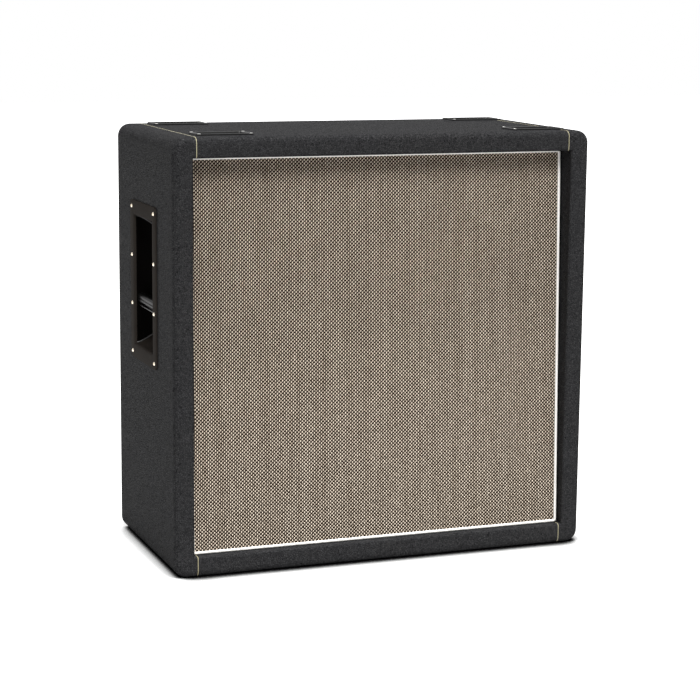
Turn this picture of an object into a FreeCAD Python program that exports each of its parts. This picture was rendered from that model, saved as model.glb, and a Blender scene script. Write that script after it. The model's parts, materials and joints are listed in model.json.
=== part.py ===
import FreeCAD, Part
import math
import os
import re
import Sketcher

# Closed-back guitar speaker cabinet: four 12 inch drivers on a leaning baffle in a finger-jointed,
# vinyl-covered plywood case. X runs across the front, Y from the front to the back, Z up.
# The origin lies on the floor under the middle of the case. Lengths are in millimetres.

sizes = {
    # case
    "cab_width": 770,
    "cab_depth": 375,
    "cab_height": 755,
    "panel_thickness": 18,
    "cover_thickness": 1,
    "lip_width": 35.5,
    "corner_radius": 22,
    "edge_radius": 11,
    "lip_edge_radius": 4.5,
    "finger_count": 11,
    "seam_inset": 41,
    "seam_width": 1.6,
    "seam_rise": 0.4,
    "fit_gap": 0.3,
    "cut_overrun": 6,
    # baffle, cloth and the strips that hold them
    "lean_angle": 1.91,
    "recess_depth": 18.5,
    "cloth_thickness": 1,
    "baffle_thickness": 18,
    "baffle_gap": 1.5,
    "piping_radius": 2.5,
    "piping_bend": 6,
    "cover_turn_in": 12,
    "cleat_width": 30,
    "cleat_depth": 20,
    # back
    "back_inset": 6,
    "back_thickness": 15,
    "back_gap": 1.5,
    "rear_batten": 22,
    "brace_width": 44,
    "back_screws_across": 5,
    "back_screws_up": 5,
    "back_screw_length": 28,
    "back_screw_shank": 2,
    "back_screw_head": 4.5,
    "back_screw_dome": 2.4,
    # handles
    "handle_y": 1,
    "handle_z": 486,
    "flange_width": 168,
    "flange_height": 284,
    "flange_thickness": 2.6,
    "flange_corner": 10,
    "flange_edge_radius": 1.2,
    "scoop_width": 122,
    "scoop_height": 232,
    "cup_wall": 3,
    "grip_drop": 36,
    "grip_inset": 12,
    "grip_height": 22,
    "grip_thickness": 15.5,
    "grip_round": 7,
    "grip_fit": 0.1,
    "handle_screw_rows": 4,
    "handle_screw_pitch": 87,
    "handle_screw_across": 144,
    "handle_screw_length": 16,
    "handle_screw_shank": 1.9,
    "handle_screw_head": 4,
    "handle_screw_dome": 2.2,
    # castor cups on the top, castor sockets underneath
    "castor_inset_across": 97,
    "castor_inset_along": 69.5,
    "dish_inset_across": 93,
    "dish_inset_along": 53.5,
    "dish_shift": 10,
    "dish_width": 102,
    "dish_length": 56,
    "dish_corner": 7,
    "dish_rise": 2.6,
    "dish_rim": 10.5,
    "dish_sink": 8,
    "dish_wall": 2.2,
    "dish_edge_radius": 1,
    "dish_screw_inset": 5,
    "socket_width": 58,
    "socket_length": 34,
    "socket_corner": 5,
    "socket_plate": 2.5,
    "socket_tube_radius": 8,
    "socket_tube_height": 42,
    "stem_bore_radius": 5.6,
    "stem_bore_depth": 38,
    "socket_screw_across": 42,
    "plate_screw_head": 3.2,
    "plate_screw_taper": 1.8,
    "plate_screw_shank": 1.5,
    "plate_screw_length": 13,
    # jack
    "jack_z": 200,
    "jack_plate_width": 92,
    "jack_plate_height": 62,
    "jack_plate_corner": 6,
    "jack_plate_thickness": 2,
    "jack_plate_screw_inset": 7,
    "jack_hole_radius": 14,
    "jack_bore_radius": 3.23,
    "jack_bush_radius": 4.7,
    "jack_bush_rise": 3.4,
    "jack_body_radius": 8.5,
    "jack_body_length": 26,
    "jack_bore_depth": 24,
    "jack_nut_radius": 8,
    "jack_nut_height": 2.6,
    # drivers: what doesn't scale with them
    "window_count": 6,
    "window_half_angle": 21,
    "bolt_count": 4,
    "driver_margin_across": 16.5,
    "driver_margin_up": 9,
    # wiring
    "lead_radius": 1.5,
    "lead_spread": 4,
    "lead_run": 26,
    "lead_clearance": 13,
    "lead_bend_share": 0.45,
}

# The drivers at their usual size: radii from the driver's axis, depths from the front of its rim
driver_sizes = {
    "driver_pitch": 330,
    "baffle_hole_radius": 141,
    "rim_radius": 154.5,
    "rim_inner_radius": 136,
    "basket_sheet": 1.5,
    "rim_turn": 4,
    "shelf_outer_radius": 78,
    "shelf_inner_radius": 58,
    "shelf_depth": 60,
    "base_radius": 54,
    "base_hole_radius": 26,
    "base_depth": 80,
    "window_inner_radius": 84,
    "window_outer_radius": 129,
    "gasket_inner_radius": 143.6,
    "gasket_thickness": 3,
    "bolt_circle_radius": 148.5,
    "bolt_radius": 2.5,
    "bolt_head_radius": 5,
    "bolt_head_height": 2.6,
    "bolt_end": 2,
    "bolt_nut_radius": 4.6,
    "bolt_nut_height": 4,
    "bolt_clearance": 0.2,
    "cone_radius": 124,
    "cone_front_depth": 6,
    "cone_neck_depth": 46,
    "cone_paper": 0.8,
    "edge_paper": 0.6,
    "edge_flat": 6,
    "edge_roll_share": 0.5,
    "cap_radius": 34,
    "cap_height": 9,
    "cap_paper": 0.7,
    "cap_glue": 1.6,
    "pole_radius": 21.2,
    "coil_bore_radius": 21.6,
    "coil_outer_radius": 22.5,
    "coil_top_depth": 44,
    "coil_bottom_depth": 91,
    "spider_cloth": 0.6,
    "spider_wave": 3,
    "plate_hole_radius": 23.2,
    "plate_radius": 70,
    "plate_thickness": 8,
    "magnet_radius": 78,
    "magnet_hole_radius": 36,
    "magnet_thickness": 20,
    "yoke_chamfer": 3,
    "tag_reach": 16,
    "tag_height": 8,
    "tag_width": 20,
}

# The drivers fill the room between the cleats
room_across = "cab_width / 2 - cover_thickness - panel_thickness - cleat_width - driver_margin_across"
room_up = "cab_height / 2 - cover_thickness - panel_thickness - cleat_width - driver_margin_up"
derived = {"driver_scale": f"=min({room_across}; {room_up}) / (driver_pitch / 2 + rim_radius)"}

doc = FreeCAD.newDocument("speaker_cabinet")
sheet = doc.addObject("Spreadsheet::Sheet", "Sizes")
for row, (alias, content) in enumerate({**sizes, **driver_sizes, **derived}.items(), start=1):
    sheet.set("A%d" % row, alias)
    sheet.set("B%d" % row, str(content))
    sheet.setAlias("B%d" % row, alias)
doc.recompute()

nodes = {}
tiny = 1e-3
full_turn = 360
both_ways = "Symmetric"

# Expressions that several pieces share
inner_half = "(cab_width / 2 - cover_thickness - panel_thickness)"
inner_low = "(cover_thickness + panel_thickness)"
inner_height = "(cab_height - 2 * cover_thickness - 2 * panel_thickness)"
mouth_half = "(cab_width / 2 - lip_width)"
slope_height = "((cab_height - 2 * lip_width) / cos(lean_angle))"
board_back = "(cloth_thickness + baffle_thickness)"
board_low = f"(baffle_gap + {board_back} * tan(lean_angle))"
rim_depth = f"({board_back} + gasket_thickness)"
back_face = "(cab_depth / 2 - back_inset)"
back_inner = "(cab_depth / 2 - back_inset - cover_thickness - back_thickness)"
castor_x = "(cab_width / 2 - castor_inset_across)"
castor_y = "(cab_depth / 2 - castor_inset_along)"
neck_radius = "(coil_outer_radius + fit_gap)"
plate_top = "(base_depth + basket_sheet)"
magnet_top = f"({plate_top} + plate_thickness)"
yoke_top = f"({magnet_top} + magnet_thickness)"


# Named sizes and expressions

def in_sheet(expression):
    def named(match):
        found = match.group(0)
        if found in driver_sizes:
            return f"(Sizes.{found} * Sizes.driver_scale)"
        return f"Sizes.{found}" if found in sizes else found
    return re.sub(r"[a-z_]+", named, expression)


def value(expression):
    return float(sheet.evalExpression(in_sheet(expression)))


def bind(item, prop, expression):
    item.setExpression(prop, in_sheet(expression))


def node(name, item):
    item.Label = name
    nodes[name] = item
    return item


# Places

def move(item, corner):
    for letter, expression in zip("xyz", corner):
        bind(item, "Placement.Base." + letter, expression)
    return item


def baffle_point(across, inward, up):
    # Distances along the leaning board, from the middle of its lower edge on the front of the cloth
    front = "-cab_depth / 2 + recess_depth"
    depth = f"{front} + ({inward}) * cos(lean_angle) + ({up}) * sin(lean_angle)"
    height = f"lip_width - ({inward}) * sin(lean_angle) + ({up}) * cos(lean_angle)"
    return across, depth, height


def on_baffle(item, across, inward, up):
    lean = FreeCAD.Rotation(FreeCAD.Vector(-1, 0, 0), value("lean_angle"))
    item.Placement = FreeCAD.Placement(FreeCAD.Vector(), lean)
    bind(item, "Placement.Rotation.Angle", "lean_angle")
    return move(item, baffle_point(across, inward, up))


# Solids and booleans

def box(name, size, corner):
    item = doc.addObject("Part::Box", name)
    for prop, expression in zip(("Length", "Width", "Height"), size):
        bind(item, prop, expression)
    return move(item, corner)


def compound(name, items):
    item = doc.addObject("Part::Compound", name)
    item.Links = items
    return item


def cut(name, base, *tools):
    for number, tool in enumerate(tools, start=1):
        item = doc.addObject("Part::Cut", f"{name}_cut_{number}")
        item.Base = base
        item.Tool = tool
        base = item
    return base


def common(name, first, second):
    item = doc.addObject("Part::MultiCommon", name + "_common")
    item.Shapes = [first, second]
    return item


def copies(name, master, places):
    # One group of equal solids, such as a set of screws
    doc.recompute()
    group = doc.addObject("Part::Feature", name)
    solids = []
    for place in places:
        solid = master.Shape.copy()
        solid.Placement = place.multiply(solid.Placement)
        solids.append(solid)
    group.Shape = Part.makeCompound(solids)
    group.Placement = FreeCAD.Placement()
    return group


# Sketches

def rectangle(left, right, low, high):
    return [(left, low), (right, low), (right, high), (left, high)]


def rounded(left, right, low, high, radius):
    turn = (radius, "left")
    return [
        (f"{left} + {radius}", low, *turn),
        (f"{right} - {radius}", low),
        (right, f"{low} + {radius}", *turn),
        (right, f"{high} - {radius}"),
        (f"{right} - {radius}", high, *turn),
        (f"{left} + {radius}", high),
        (left, f"{high} - {radius}", *turn),
        (left, f"{low} + {radius}"),
    ]


def centred(width, height, radius):
    return rounded(f"-({width}) / 2", f"({width}) / 2", f"-({height}) / 2", f"({height}) / 2", radius)


def hexagon(radius):
    sides = 6
    step = full_turn / sides
    return [(f"{radius} * cos({k * step})", f"{radius} * sin({k * step})") for k in range(sides)]


def arc_between(start, end, radius, side):
    chord = end - start
    rise = math.sqrt(radius ** 2 - (chord.Length / 2) ** 2)
    normal = FreeCAD.Vector(-chord.y, chord.x, 0).normalize()
    centre = (start + end) * 0.5 + normal * (rise if side == "left" else -rise)
    first = math.atan2(start.y - centre.y, start.x - centre.x)
    last = math.atan2(end.y - centre.y, end.x - centre.x)
    circle = Part.Circle(centre, FreeCAD.Vector(0, 0, 1), radius)
    if side == "left":
        return Part.ArcOfCircle(circle, first, last)
    return Part.ArcOfCircle(circle, last, first)


def set_distance(item, kind, index, end, expression):
    if abs(value(expression)) < tiny:
        axis = -2 if kind == "DistanceX" else -1
        item.addConstraint(Sketcher.Constraint("PointOnObject", index, end, axis))
        return
    points = (-1, 1, index, end)
    if value(expression) < 0:
        points = (index, end, -1, 1)
        expression = f"-({expression})"
    number = item.addConstraint(Sketcher.Constraint(kind, *points, value(expression)))
    bind(item, f"Constraints[{number}]", expression)


def set_radius(item, index, expression):
    number = item.addConstraint(Sketcher.Constraint("Radius", index, value(expression)))
    bind(item, f"Constraints[{number}]", expression)


def draw_outline(item, outline):
    # Each corner ends a line or, where it has a radius and a side, an arc
    places = [FreeCAD.Vector(value(corner[0]), value(corner[1]), 0) for corner in outline]
    pieces = []
    for number, corner in enumerate(outline):
        start, end = places[number - 1], places[number]
        if len(corner) == 2:
            index = item.addGeometry(Part.LineSegment(start, end))
            pieces.append((index, 1, 2))
        else:
            index = item.addGeometry(arc_between(start, end, value(corner[2]), corner[3]))
            pieces.append((index, 1, 2) if corner[3] == "left" else (index, 2, 1))
    for number, (index, _, end) in enumerate(pieces):
        following, start, _ = pieces[(number + 1) % len(pieces)]
        item.addConstraint(Sketcher.Constraint("Coincident", index, end, following, start))
        set_distance(item, "DistanceX", index, end, outline[number][0])
        set_distance(item, "DistanceY", index, end, outline[number][1])
        if len(outline[number]) > 2:
            set_radius(item, index, outline[number][2])


def draw_circle(item, across, up, radius):
    centre = FreeCAD.Vector(value(across), value(up), 0)
    index = item.addGeometry(Part.Circle(centre, FreeCAD.Vector(0, 0, 1), value(radius)))
    set_distance(item, "DistanceX", index, 3, across)
    set_distance(item, "DistanceY", index, 3, up)
    set_radius(item, index, radius)


def sketch(body, name, role, outlines=(), circles=()):
    item = body.newObject("Sketcher::SketchObject", f"{body.Name}_{name}")
    plane = [feature for feature in body.Origin.OriginFeatures if feature.Role == role][0]
    item.AttachmentSupport = [(plane, "")]
    item.MapMode = "FlatFace"
    for outline in outlines:
        draw_outline(item, outline)
    for circle in circles:
        draw_circle(item, *circle)
    return item


# Features of a body

def new_body(name):
    return doc.addObject("PartDesign::Body", name)


def pad(body, profile, length, side="One side", back=False):
    item = body.newObject("PartDesign::Pad", profile.Name + "_pad")
    item.Profile = profile
    bind(item, "Length", length)
    item.SideType = side
    item.Reversed = back
    return item


def pocket(body, profile, length, side="One side", back=False):
    item = body.newObject("PartDesign::Pocket", profile.Name + "_pocket")
    item.Profile = profile
    item.SideType = side
    item.Reversed = back
    if length is None:
        item.Type = "ThroughAll"
    else:
        bind(item, "Length", length)
    return item


def turned(name, outline):
    # A profile of radius and depth, turned about the body's Y axis
    body = new_body(name)
    profile = sketch(body, "profile", "XY_Plane", [outline])
    item = body.newObject("PartDesign::Revolution", name + "_turn")
    item.Profile = profile
    item.ReferenceAxis = (profile, ["V_Axis"])
    item.Angle = full_turn
    return body


def round_edges(body, base, keep, radius):
    doc.recompute()
    names = []
    for number, edge in enumerate(base.Shape.Edges, start=1):
        if keep(edge.BoundBox):
            names.append(f"Edge{number}")
    item = body.newObject("PartDesign::Fillet", f"{base.Name}_round")
    item.Base = (base, names)
    bind(item, "Radius", radius)
    doc.recompute()
    return item


# The case as one block, with its rounded edges and the mouth of the front

def case_form(name, inset):
    body = new_body(name)
    radius = f"(corner_radius - ({inset}))"
    outline = rounded(
        f"-(cab_width / 2 - ({inset}))", f"(cab_width / 2 - ({inset}))",
        f"({inset})", f"(cab_height - ({inset}))", radius,
    )
    block = pad(body, sketch(body, "block", "XZ_Plane", [outline]), f"cab_depth - 2 * ({inset})", both_ways)
    ends = round_edges(
        body, block, lambda reach: reach.YLength < tiny, f"edge_radius - ({inset})"
    )
    edge = f"({mouth_half} + ({inset}))"
    mouth = rectangle(
        f"-{edge}", edge, f"lip_width - ({inset})", f"cab_height - lip_width + ({inset})"
    )
    hollow = pocket(body, sketch(body, "mouth", "XZ_Plane", [mouth]), None, both_ways)
    front = -value("cab_depth") / 2 + value(inset)
    limit = value(edge) + tiny

    def on_lip(reach):
        flat = reach.YLength < tiny and abs(reach.YMin - front) < tiny
        return flat and max(-reach.XMin, reach.XMax) < limit

    round_edges(body, hollow, on_lip, f"lip_edge_radius - ({inset})")
    return body


def behind_baffle(name, depth, reach="cab_depth"):
    item = doc.addObject("Part::Box", name)
    bind(item, "Length", "cab_width")
    bind(item, "Width", reach)
    bind(item, "Height", "cab_height + 2 * lip_width")
    return on_baffle(item, "-cab_width / 2", depth, "-2 * lip_width")


def inside_panels(name):
    size = (f"2 * {inner_half}", "cab_depth + cut_overrun", inner_height)
    return box(name, size, (f"-{inner_half}", "-cab_depth / 2", inner_low))


# Screws, bolts and the holes for them: the axis runs into the material along +Y

def domed_screw(name, kind):
    head, dome = f"{kind}_screw_head", f"{kind}_screw_dome"
    shank, length = f"{kind}_screw_shank", f"{kind}_screw_length"
    ball = f"({head} ^ 2 + {dome} ^ 2) / (2 * {dome})"
    return turned(name, [
        ("0", f"-{dome}"), (head, "0", ball, "left"), (shank, "0"), (shank, length), ("0", length),
    ])


def plain_hole(name, radius, start, length):
    return turned(name, rectangle("0", f"{radius} + fit_gap", f"-({start})", f"{length} + fit_gap"))


def flat_screw(name, gap):
    head, shank = f"plate_screw_head + {gap}", f"plate_screw_shank + {gap}"
    length = f"plate_screw_length + {gap}"
    return turned(name, [
        ("0", "0"), (head, "0"), (shank, f"plate_screw_taper + {gap}"), (shank, length), ("0", length),
    ])


def facing(direction, x, y, z):
    turn = FreeCAD.Rotation(FreeCAD.Vector(0, 1, 0), FreeCAD.Vector(*direction))
    return FreeCAD.Placement(FreeCAD.Vector(value(x), value(y), value(z)), turn)


sides = {"left": -1, "right": 1}
ends = {"front": -1, "back": 1}


def handle_screw_places():
    places = []
    rows = sizes["handle_screw_rows"]
    for sign in sides.values():
        for column in (-1, 1):
            for row in range(rows):
                up = f"handle_z + ({row} - ({rows} - 1) / 2) * handle_screw_pitch"
                across = f"handle_y + {column} * handle_screw_across / 2"
                out = f"{sign} * (cab_width / 2 + flange_thickness)"
                places.append(facing((-sign, 0, 0), out, across, up))
    return places


def back_screw_places():
    places = []
    across, up = sizes["back_screws_across"], sizes["back_screws_up"]
    reach = f"({inner_half} - rear_batten / 2)"
    rise = f"({inner_height} - rear_batten)"
    for column in range(across):
        for row in range(up):
            if column in (0, across - 1) or row in (0, up - 1):
                x = f"({2 * column / (across - 1)} - 1) * {reach}"
                z = f"{inner_low} + rear_batten / 2 + {row / (up - 1)} * {rise}"
                places.append(facing((0, -1, 0), x, back_face, z))
    places.append(facing((0, -1, 0), "0", back_face, "cab_height / 2"))
    return places


# The cups on the top sit a little to the right and to the back of the sockets below

def dish_place(right, rear):
    return (f"({right} * (cab_width / 2 - dish_inset_across) + dish_shift)",
            f"({rear} * (cab_depth / 2 - dish_inset_along) + dish_shift)")


def plate_screw_places():
    places = []
    for right in sides.values():
        for rear in ends.values():
            dish_x, dish_y = dish_place(right, rear)
            for column in (-1, 1):
                for row in (-1, 1):
                    x = f"{dish_x} + {column} * (dish_width / 2 - dish_screw_inset)"
                    y = f"{dish_y} + {row} * (dish_length / 2 - dish_screw_inset)"
                    places.append(facing((0, 0, -1), x, y, "cab_height + dish_rise"))
                x = f"{right} * {castor_x} + {column} * socket_screw_across / 2"
                places.append(facing((0, 0, 1), x, f"{rear} * {castor_y}", "0"))
    for column in (-1, 1):
        for row in (-1, 1):
            x = f"{column} * (jack_plate_width / 2 - jack_plate_screw_inset)"
            z = f"jack_z + {row} * (jack_plate_height / 2 - jack_plate_screw_inset)"
            places.append(facing((0, -1, 0), x, f"{back_face} + jack_plate_thickness", z))
    return places


drivers = [(-1, 1), (1, 1), (-1, -1), (1, -1)]


def driver_up(row):
    return f"({slope_height} / 2 + {row} * driver_pitch / 2)"


def driver_place(item, column, row, inward):
    return on_baffle(item, f"{column} * driver_pitch / 2", inward, driver_up(row))


def bolt_places(inward):
    places = []
    count = sizes["bolt_count"]
    for column, row in drivers:
        for number in range(count):
            angle = (number + 0.5) * full_turn / count
            marker = doc.addObject("Part::Feature", "bolt_place")
            across = f"{column} * driver_pitch / 2 + bolt_circle_radius * cos({angle})"
            up = f"{driver_up(row)} + bolt_circle_radius * sin({angle})"
            on_baffle(marker, across, inward, up)
            doc.recompute()
            places.append(marker.Placement)
            doc.removeObject(marker.Name)
    return places


handle_hole = plain_hole("handle_hole", "handle_screw_shank", "0", "handle_screw_length")
handle_holes = copies("handle_holes", handle_hole, handle_screw_places())
back_hole = plain_hole("back_hole", "back_screw_shank", "cut_overrun", "back_screw_length")
back_holes = copies("back_holes", back_hole, back_screw_places())
plate_holes = copies("plate_holes", flat_screw("plate_hole", "fit_gap / 2"), plate_screw_places())
handle_screw = domed_screw("handle_screw", "handle")
node("handle_screws", copies("handle_screw_set", handle_screw, handle_screw_places()))
node("back_panel_screws", copies("back_screw_set", domed_screw("back_screw", "back"), back_screw_places()))
node("plate_screws", copies("plate_screw_set", flat_screw("plate_screw", "0"), plate_screw_places()))


# Panels: the fingers of two boards fill alternate cells of each corner

def finger_cells(name, first, left, low):
    pitch = "((cab_depth - 2 * cover_thickness) / finger_count)"
    cells = []
    for number in range(first, sizes["finger_count"], 2):
        size = ("panel_thickness", pitch, "panel_thickness")
        front = f"-cab_depth / 2 + cover_thickness + {number} * {pitch}"
        cells.append(box(f"{name}_{number}", size, (left, front, low)))
    return compound(name, cells)


wood = case_form("wood_form", "cover_thickness")
depth_of_wood = "cab_depth - 2 * cover_thickness"
wood_front = "-cab_depth / 2 + cover_thickness"
board_left = {"left": "-cab_width / 2 + cover_thickness", "right": inner_half}
board_base = {"bottom": "cover_thickness", "top": f"cab_height - {inner_low}"}


def board(name, size, corner, cells, *holes):
    raw = box(name + "_board", size, corner)
    shaped = common(name, cut(name + "_fingers", raw, *cells), wood)
    return node(name, cut(name + "_hole", shaped, *holes))


def handle_opening(side):
    width = "(scoop_width + 2 * cup_wall + 2 * fit_gap)"
    height = "(scoop_height + 2 * cup_wall + 2 * fit_gap)"
    depth = "(panel_thickness + cover_thickness + 2 * cut_overrun)"
    left = {"left": "-cab_width / 2 - cut_overrun", "right": f"cab_width / 2 + cut_overrun - {depth}"}
    corner = (left[side], f"handle_y - {width} / 2", f"handle_z - {height} / 2")
    return box(f"{side}_handle_opening", (depth, width, height), corner)


def dish_wells():
    width = "(dish_width - 2 * dish_rim + 2 * fit_gap)"
    length = "(dish_length - 2 * dish_rim + 2 * fit_gap)"
    wells = []
    for side, right in sides.items():
        for end, rear in ends.items():
            x, y = dish_place(right, rear)
            corner = (f"{x} - {width} / 2", f"{y} - {length} / 2", "cab_height - dish_sink")
            wells.append(box(f"{end}_{side}_well", (width, length, "dish_sink + cut_overrun"), corner))
    return compound("dish_wells", wells)


def dish_seats():
    width, length = "(dish_width + 2 * fit_gap)", "(dish_length + 2 * fit_gap)"
    seats = []
    for side, right in sides.items():
        for end, rear in ends.items():
            x, y = dish_place(right, rear)
            corner = (f"{x} - {width} / 2", f"{y} - {length} / 2", "cab_height")
            seats.append(box(f"{end}_{side}_dish_seat", (width, length, "dish_rise"), corner))
    return compound("dish_seats", seats)


def socket_seats():
    seats = []
    width, length = "(socket_width + 2 * fit_gap)", "(socket_length + 2 * fit_gap)"
    for side, right in sides.items():
        for end, rear in ends.items():
            x, y = f"{right} * {castor_x}", f"{rear} * {castor_y}"
            plate = box(
                f"{end}_{side}_seat", (width, length, "socket_plate + cut_overrun"),
                (f"{x} - {width} / 2", f"{y} - {length} / 2", "-cut_overrun"),
            )
            tube = doc.addObject("Part::Cylinder", f"{end}_{side}_tube_hole")
            bind(tube, "Radius", "socket_tube_radius + fit_gap")
            bind(tube, "Height", "socket_tube_height")
            seat = doc.addObject("Part::MultiFuse", f"{end}_{side}_seat_hole")
            seat.Shapes = [plate, move(tube, (x, y, "0"))]
            seats.append(seat)
    return compound("socket_seats", seats)


openings = {side: handle_opening(side) for side in sides}
wells = dish_wells()
seats = socket_seats()

for side in sides:
    cells = [finger_cells(f"{side}_{level}_gaps", 1, board_left[side], board_base[level])
             for level in board_base]
    board(
        f"{side}_side_panel",
        ("panel_thickness", depth_of_wood, "cab_height - 2 * cover_thickness"),
        (board_left[side], wood_front, "cover_thickness"), cells, openings[side], handle_holes,
    )
level_holes = {"bottom": seats, "top": wells}
for level in board_base:
    cells = [finger_cells(f"{level}_{side}_gaps", 0, board_left[side], board_base[level]) for side in sides]
    board(
        f"{level}_panel",
        ("cab_width - 2 * cover_thickness", depth_of_wood, "panel_thickness"),
        (board_left["left"], wood_front, board_base[level]), cells, level_holes[level], plate_holes,
    )


# Strips inside the case

def frame_strips(name, width, front, depth):
    strips = []
    for side, sign in sides.items():
        left = f"-{inner_half}" if sign < 0 else f"{inner_half} - {width}"
        strips.append(box(f"{name}_{side}", (width, depth, inner_height), (left, front, inner_low)))
    for level, low in (("bottom", inner_low), ("top", f"cab_height - {inner_low} - {width}")):
        size = (f"2 * ({inner_half} - {width})", depth, width)
        strips.append(box(f"{name}_{level}", size, (f"-({inner_half} - {width})", front, low)))
    return strips


lip_strip = f"({inner_half} - {mouth_half} - cover_thickness)"
lip_back = behind_baffle("lip_back", board_back)
battens = []
for number, strip in enumerate(frame_strips("lip", lip_strip, wood_front, "cab_depth / 2"), start=1):
    battens.append(common(f"front_batten_{number}", cut(f"lip_{number}", strip, lip_back), wood))
node("front_battens", compound("front_batten_set", battens))

cleat_slab = behind_baffle("cleat_slab", board_back, "cleat_depth")
cleats = []
cleat_strips = frame_strips("cleat", "cleat_width", "-cab_depth / 2", "cab_depth / 2")
for number, strip in enumerate(cleat_strips, start=1):
    cleats.append(common(f"cleat_{number}", strip, cleat_slab))
node("baffle_cleats", compound("baffle_cleat_set", cleats))

rear = frame_strips("rear", "rear_batten", f"{back_inner} - rear_batten", "rear_batten")
node("rear_battens", cut("rear_batten", compound("rear_batten_set", rear), back_holes))

brace_size = ("brace_width", f"{back_inner} + cab_depth / 2", "brace_width")
brace = box("brace_bar", brace_size, ("-brace_width / 2", "-cab_depth / 2", "(cab_height - brace_width) / 2"))
node("centre_brace", cut("brace", common("brace", brace, behind_baffle("brace_end", board_back)), back_holes))


# Vinyl covering, split at the two seams, and the bead in each seam: the case stands on the bottom piece

skin = cut("skin", case_form("outer_form", "0"), wood)
inside = inside_panels("inside")
bare = common("bare", inside, behind_baffle("turn_in_end", "cover_turn_in"))
covering = cut("covering", skin, bare)
seam = "(cab_width / 2 - seam_inset)"
cover_reach = "(cab_depth + 2 * cut_overrun)"
cover_front = "-cab_depth / 2 - cut_overrun"

for side, sign in sides.items():
    edge = f"({seam} + seam_width / 2)"
    left = "-cab_width / 2 - cut_overrun" if sign < 0 else edge
    region = box(
        f"{side}_region",
        (f"cab_width / 2 + cut_overrun - {edge}", cover_reach, "cab_height + cut_overrun"),
        (left, cover_front, "fit_gap"),
    )
    panel = common(f"{side}_cover", covering, region)
    node(f"{side}_covering", cut(f"{side}_cover_hole", panel, openings[side], handle_holes, plate_holes))

for level, low in (("bottom", "-cut_overrun"), ("top", "cab_height / 2")):
    width = f"(2 * {seam} - seam_width)"
    region = box(
        f"{level}_region", (width, cover_reach, "cab_height / 2 + cut_overrun"),
        (f"-{width} / 2", cover_front, low),
    )
    panel = common(f"{level}_cover", covering, region)
    node(f"{level}_covering", cut(f"{level}_cover_hole", panel, level_holes[level], plate_holes))

bead_skin = cut("bead_skin", case_form("bead_form", "-seam_rise"), wood)
bead_end = behind_baffle("bead_end", "-2 * piping_radius - fit_gap")
bead = cut("bead", bead_skin, common("bead_bare", inside, bead_end))
beads = []
for side, sign in sides.items():
    for level, low in (("bottom", "fit_gap"), ("top", "cab_height / 2")):
        corner = (f"{sign} * {seam} - seam_width / 2", cover_front, low)
        size = ("seam_width", cover_reach, "cab_height / 2 + seam_rise")
        beads.append(common(f"{side}_{level}_bead", bead, box(f"{side}_{level}_slab", size, corner)))
node("seam_piping", cut("seam_bead", compound("seam_bead_set", beads), dish_seats()))


# Back panel in its own covering, jack plate and jack

def back_block(name, gap, rear):
    half_width = f"({inner_half} - {gap})"
    size = (f"2 * {half_width}", f"{rear} - {back_inner}", f"{inner_height} - 2 * {gap}")
    return box(name, size, (f"-{half_width}", back_inner, f"{inner_low} + {gap}"))


jack_hole = plain_hole("jack_hole", "jack_hole_radius", "cut_overrun", "back_thickness + cut_overrun")
jack_hole.Placement = facing((0, -1, 0), "0", back_face, "jack_z")
move(jack_hole, ("0", back_face, "jack_z"))
wood_gap = "(back_gap + cover_thickness)"
back_board = back_block("back_board", wood_gap, f"({back_face} - cover_thickness)")
wrapped = cut("back_wrap", back_block("back_wrapped", "back_gap", back_face), back_board)
node("back_panel", cut("back_panel", back_board, jack_hole, back_holes, plate_holes))
node("back_covering", cut("back_cover", wrapped, jack_hole, back_holes, plate_holes))


def jack_parts():
    plate = new_body("jack_plate_blank")
    outline = centred("jack_plate_width", "jack_plate_height", "jack_plate_corner")
    hole = ("0", "0", "jack_bush_radius + fit_gap")
    pad(plate, sketch(plate, "outline", "XZ_Plane", [outline], [hole]), "jack_plate_thickness", back=True)
    move(plate, ("0", back_face, "jack_z"))
    node("jack_plate", cut("jack_plate", plate, plate_holes))
    outer = f"{back_face} + jack_plate_thickness"
    inner = "-jack_plate_thickness"
    end = f"({inner} - jack_body_length)"
    bottom = "(-jack_bore_depth)"
    socket = turned("jack", [
        ("jack_bore_radius", "jack_bush_rise"), ("jack_bore_radius", bottom), ("0", bottom), ("0", end),
        ("jack_body_radius", end), ("jack_body_radius", inner),
        ("jack_bush_radius", inner), ("jack_bush_radius", "jack_bush_rise"),
    ])
    node("jack_socket", move(socket, ("0", outer, "jack_z")))
    nut = new_body("jack_ring")
    profile = sketch(nut, "outline", "XZ_Plane", [hexagon("jack_nut_radius")], [hole])
    pad(nut, profile, "jack_nut_height", back=True)
    node("jack_nut", move(nut, ("0", outer, "jack_z")))


jack_parts()


# Handles: a moulded scoop with a flange, and the bar across it; +Z points out of the side

def handle_turn(item, side):
    sign = sides[side]
    stand = FreeCAD.Rotation(FreeCAD.Vector(1, 0, 0), full_turn / 4)
    face = FreeCAD.Rotation(FreeCAD.Vector(0, 0, 1), sign * full_turn / 4)
    item.Placement = FreeCAD.Placement(FreeCAD.Vector(), face.multiply(stand))
    return move(item, (f"{sign} * cab_width / 2", "handle_y", "handle_z"))


def half_round(radius, top):
    return [
        (f"-({radius})", top), (f"-({radius})", "0"), ("0", f"-({radius})", radius, "left"),
        (radius, "0", radius, "left"), (radius, top),
    ]


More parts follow.
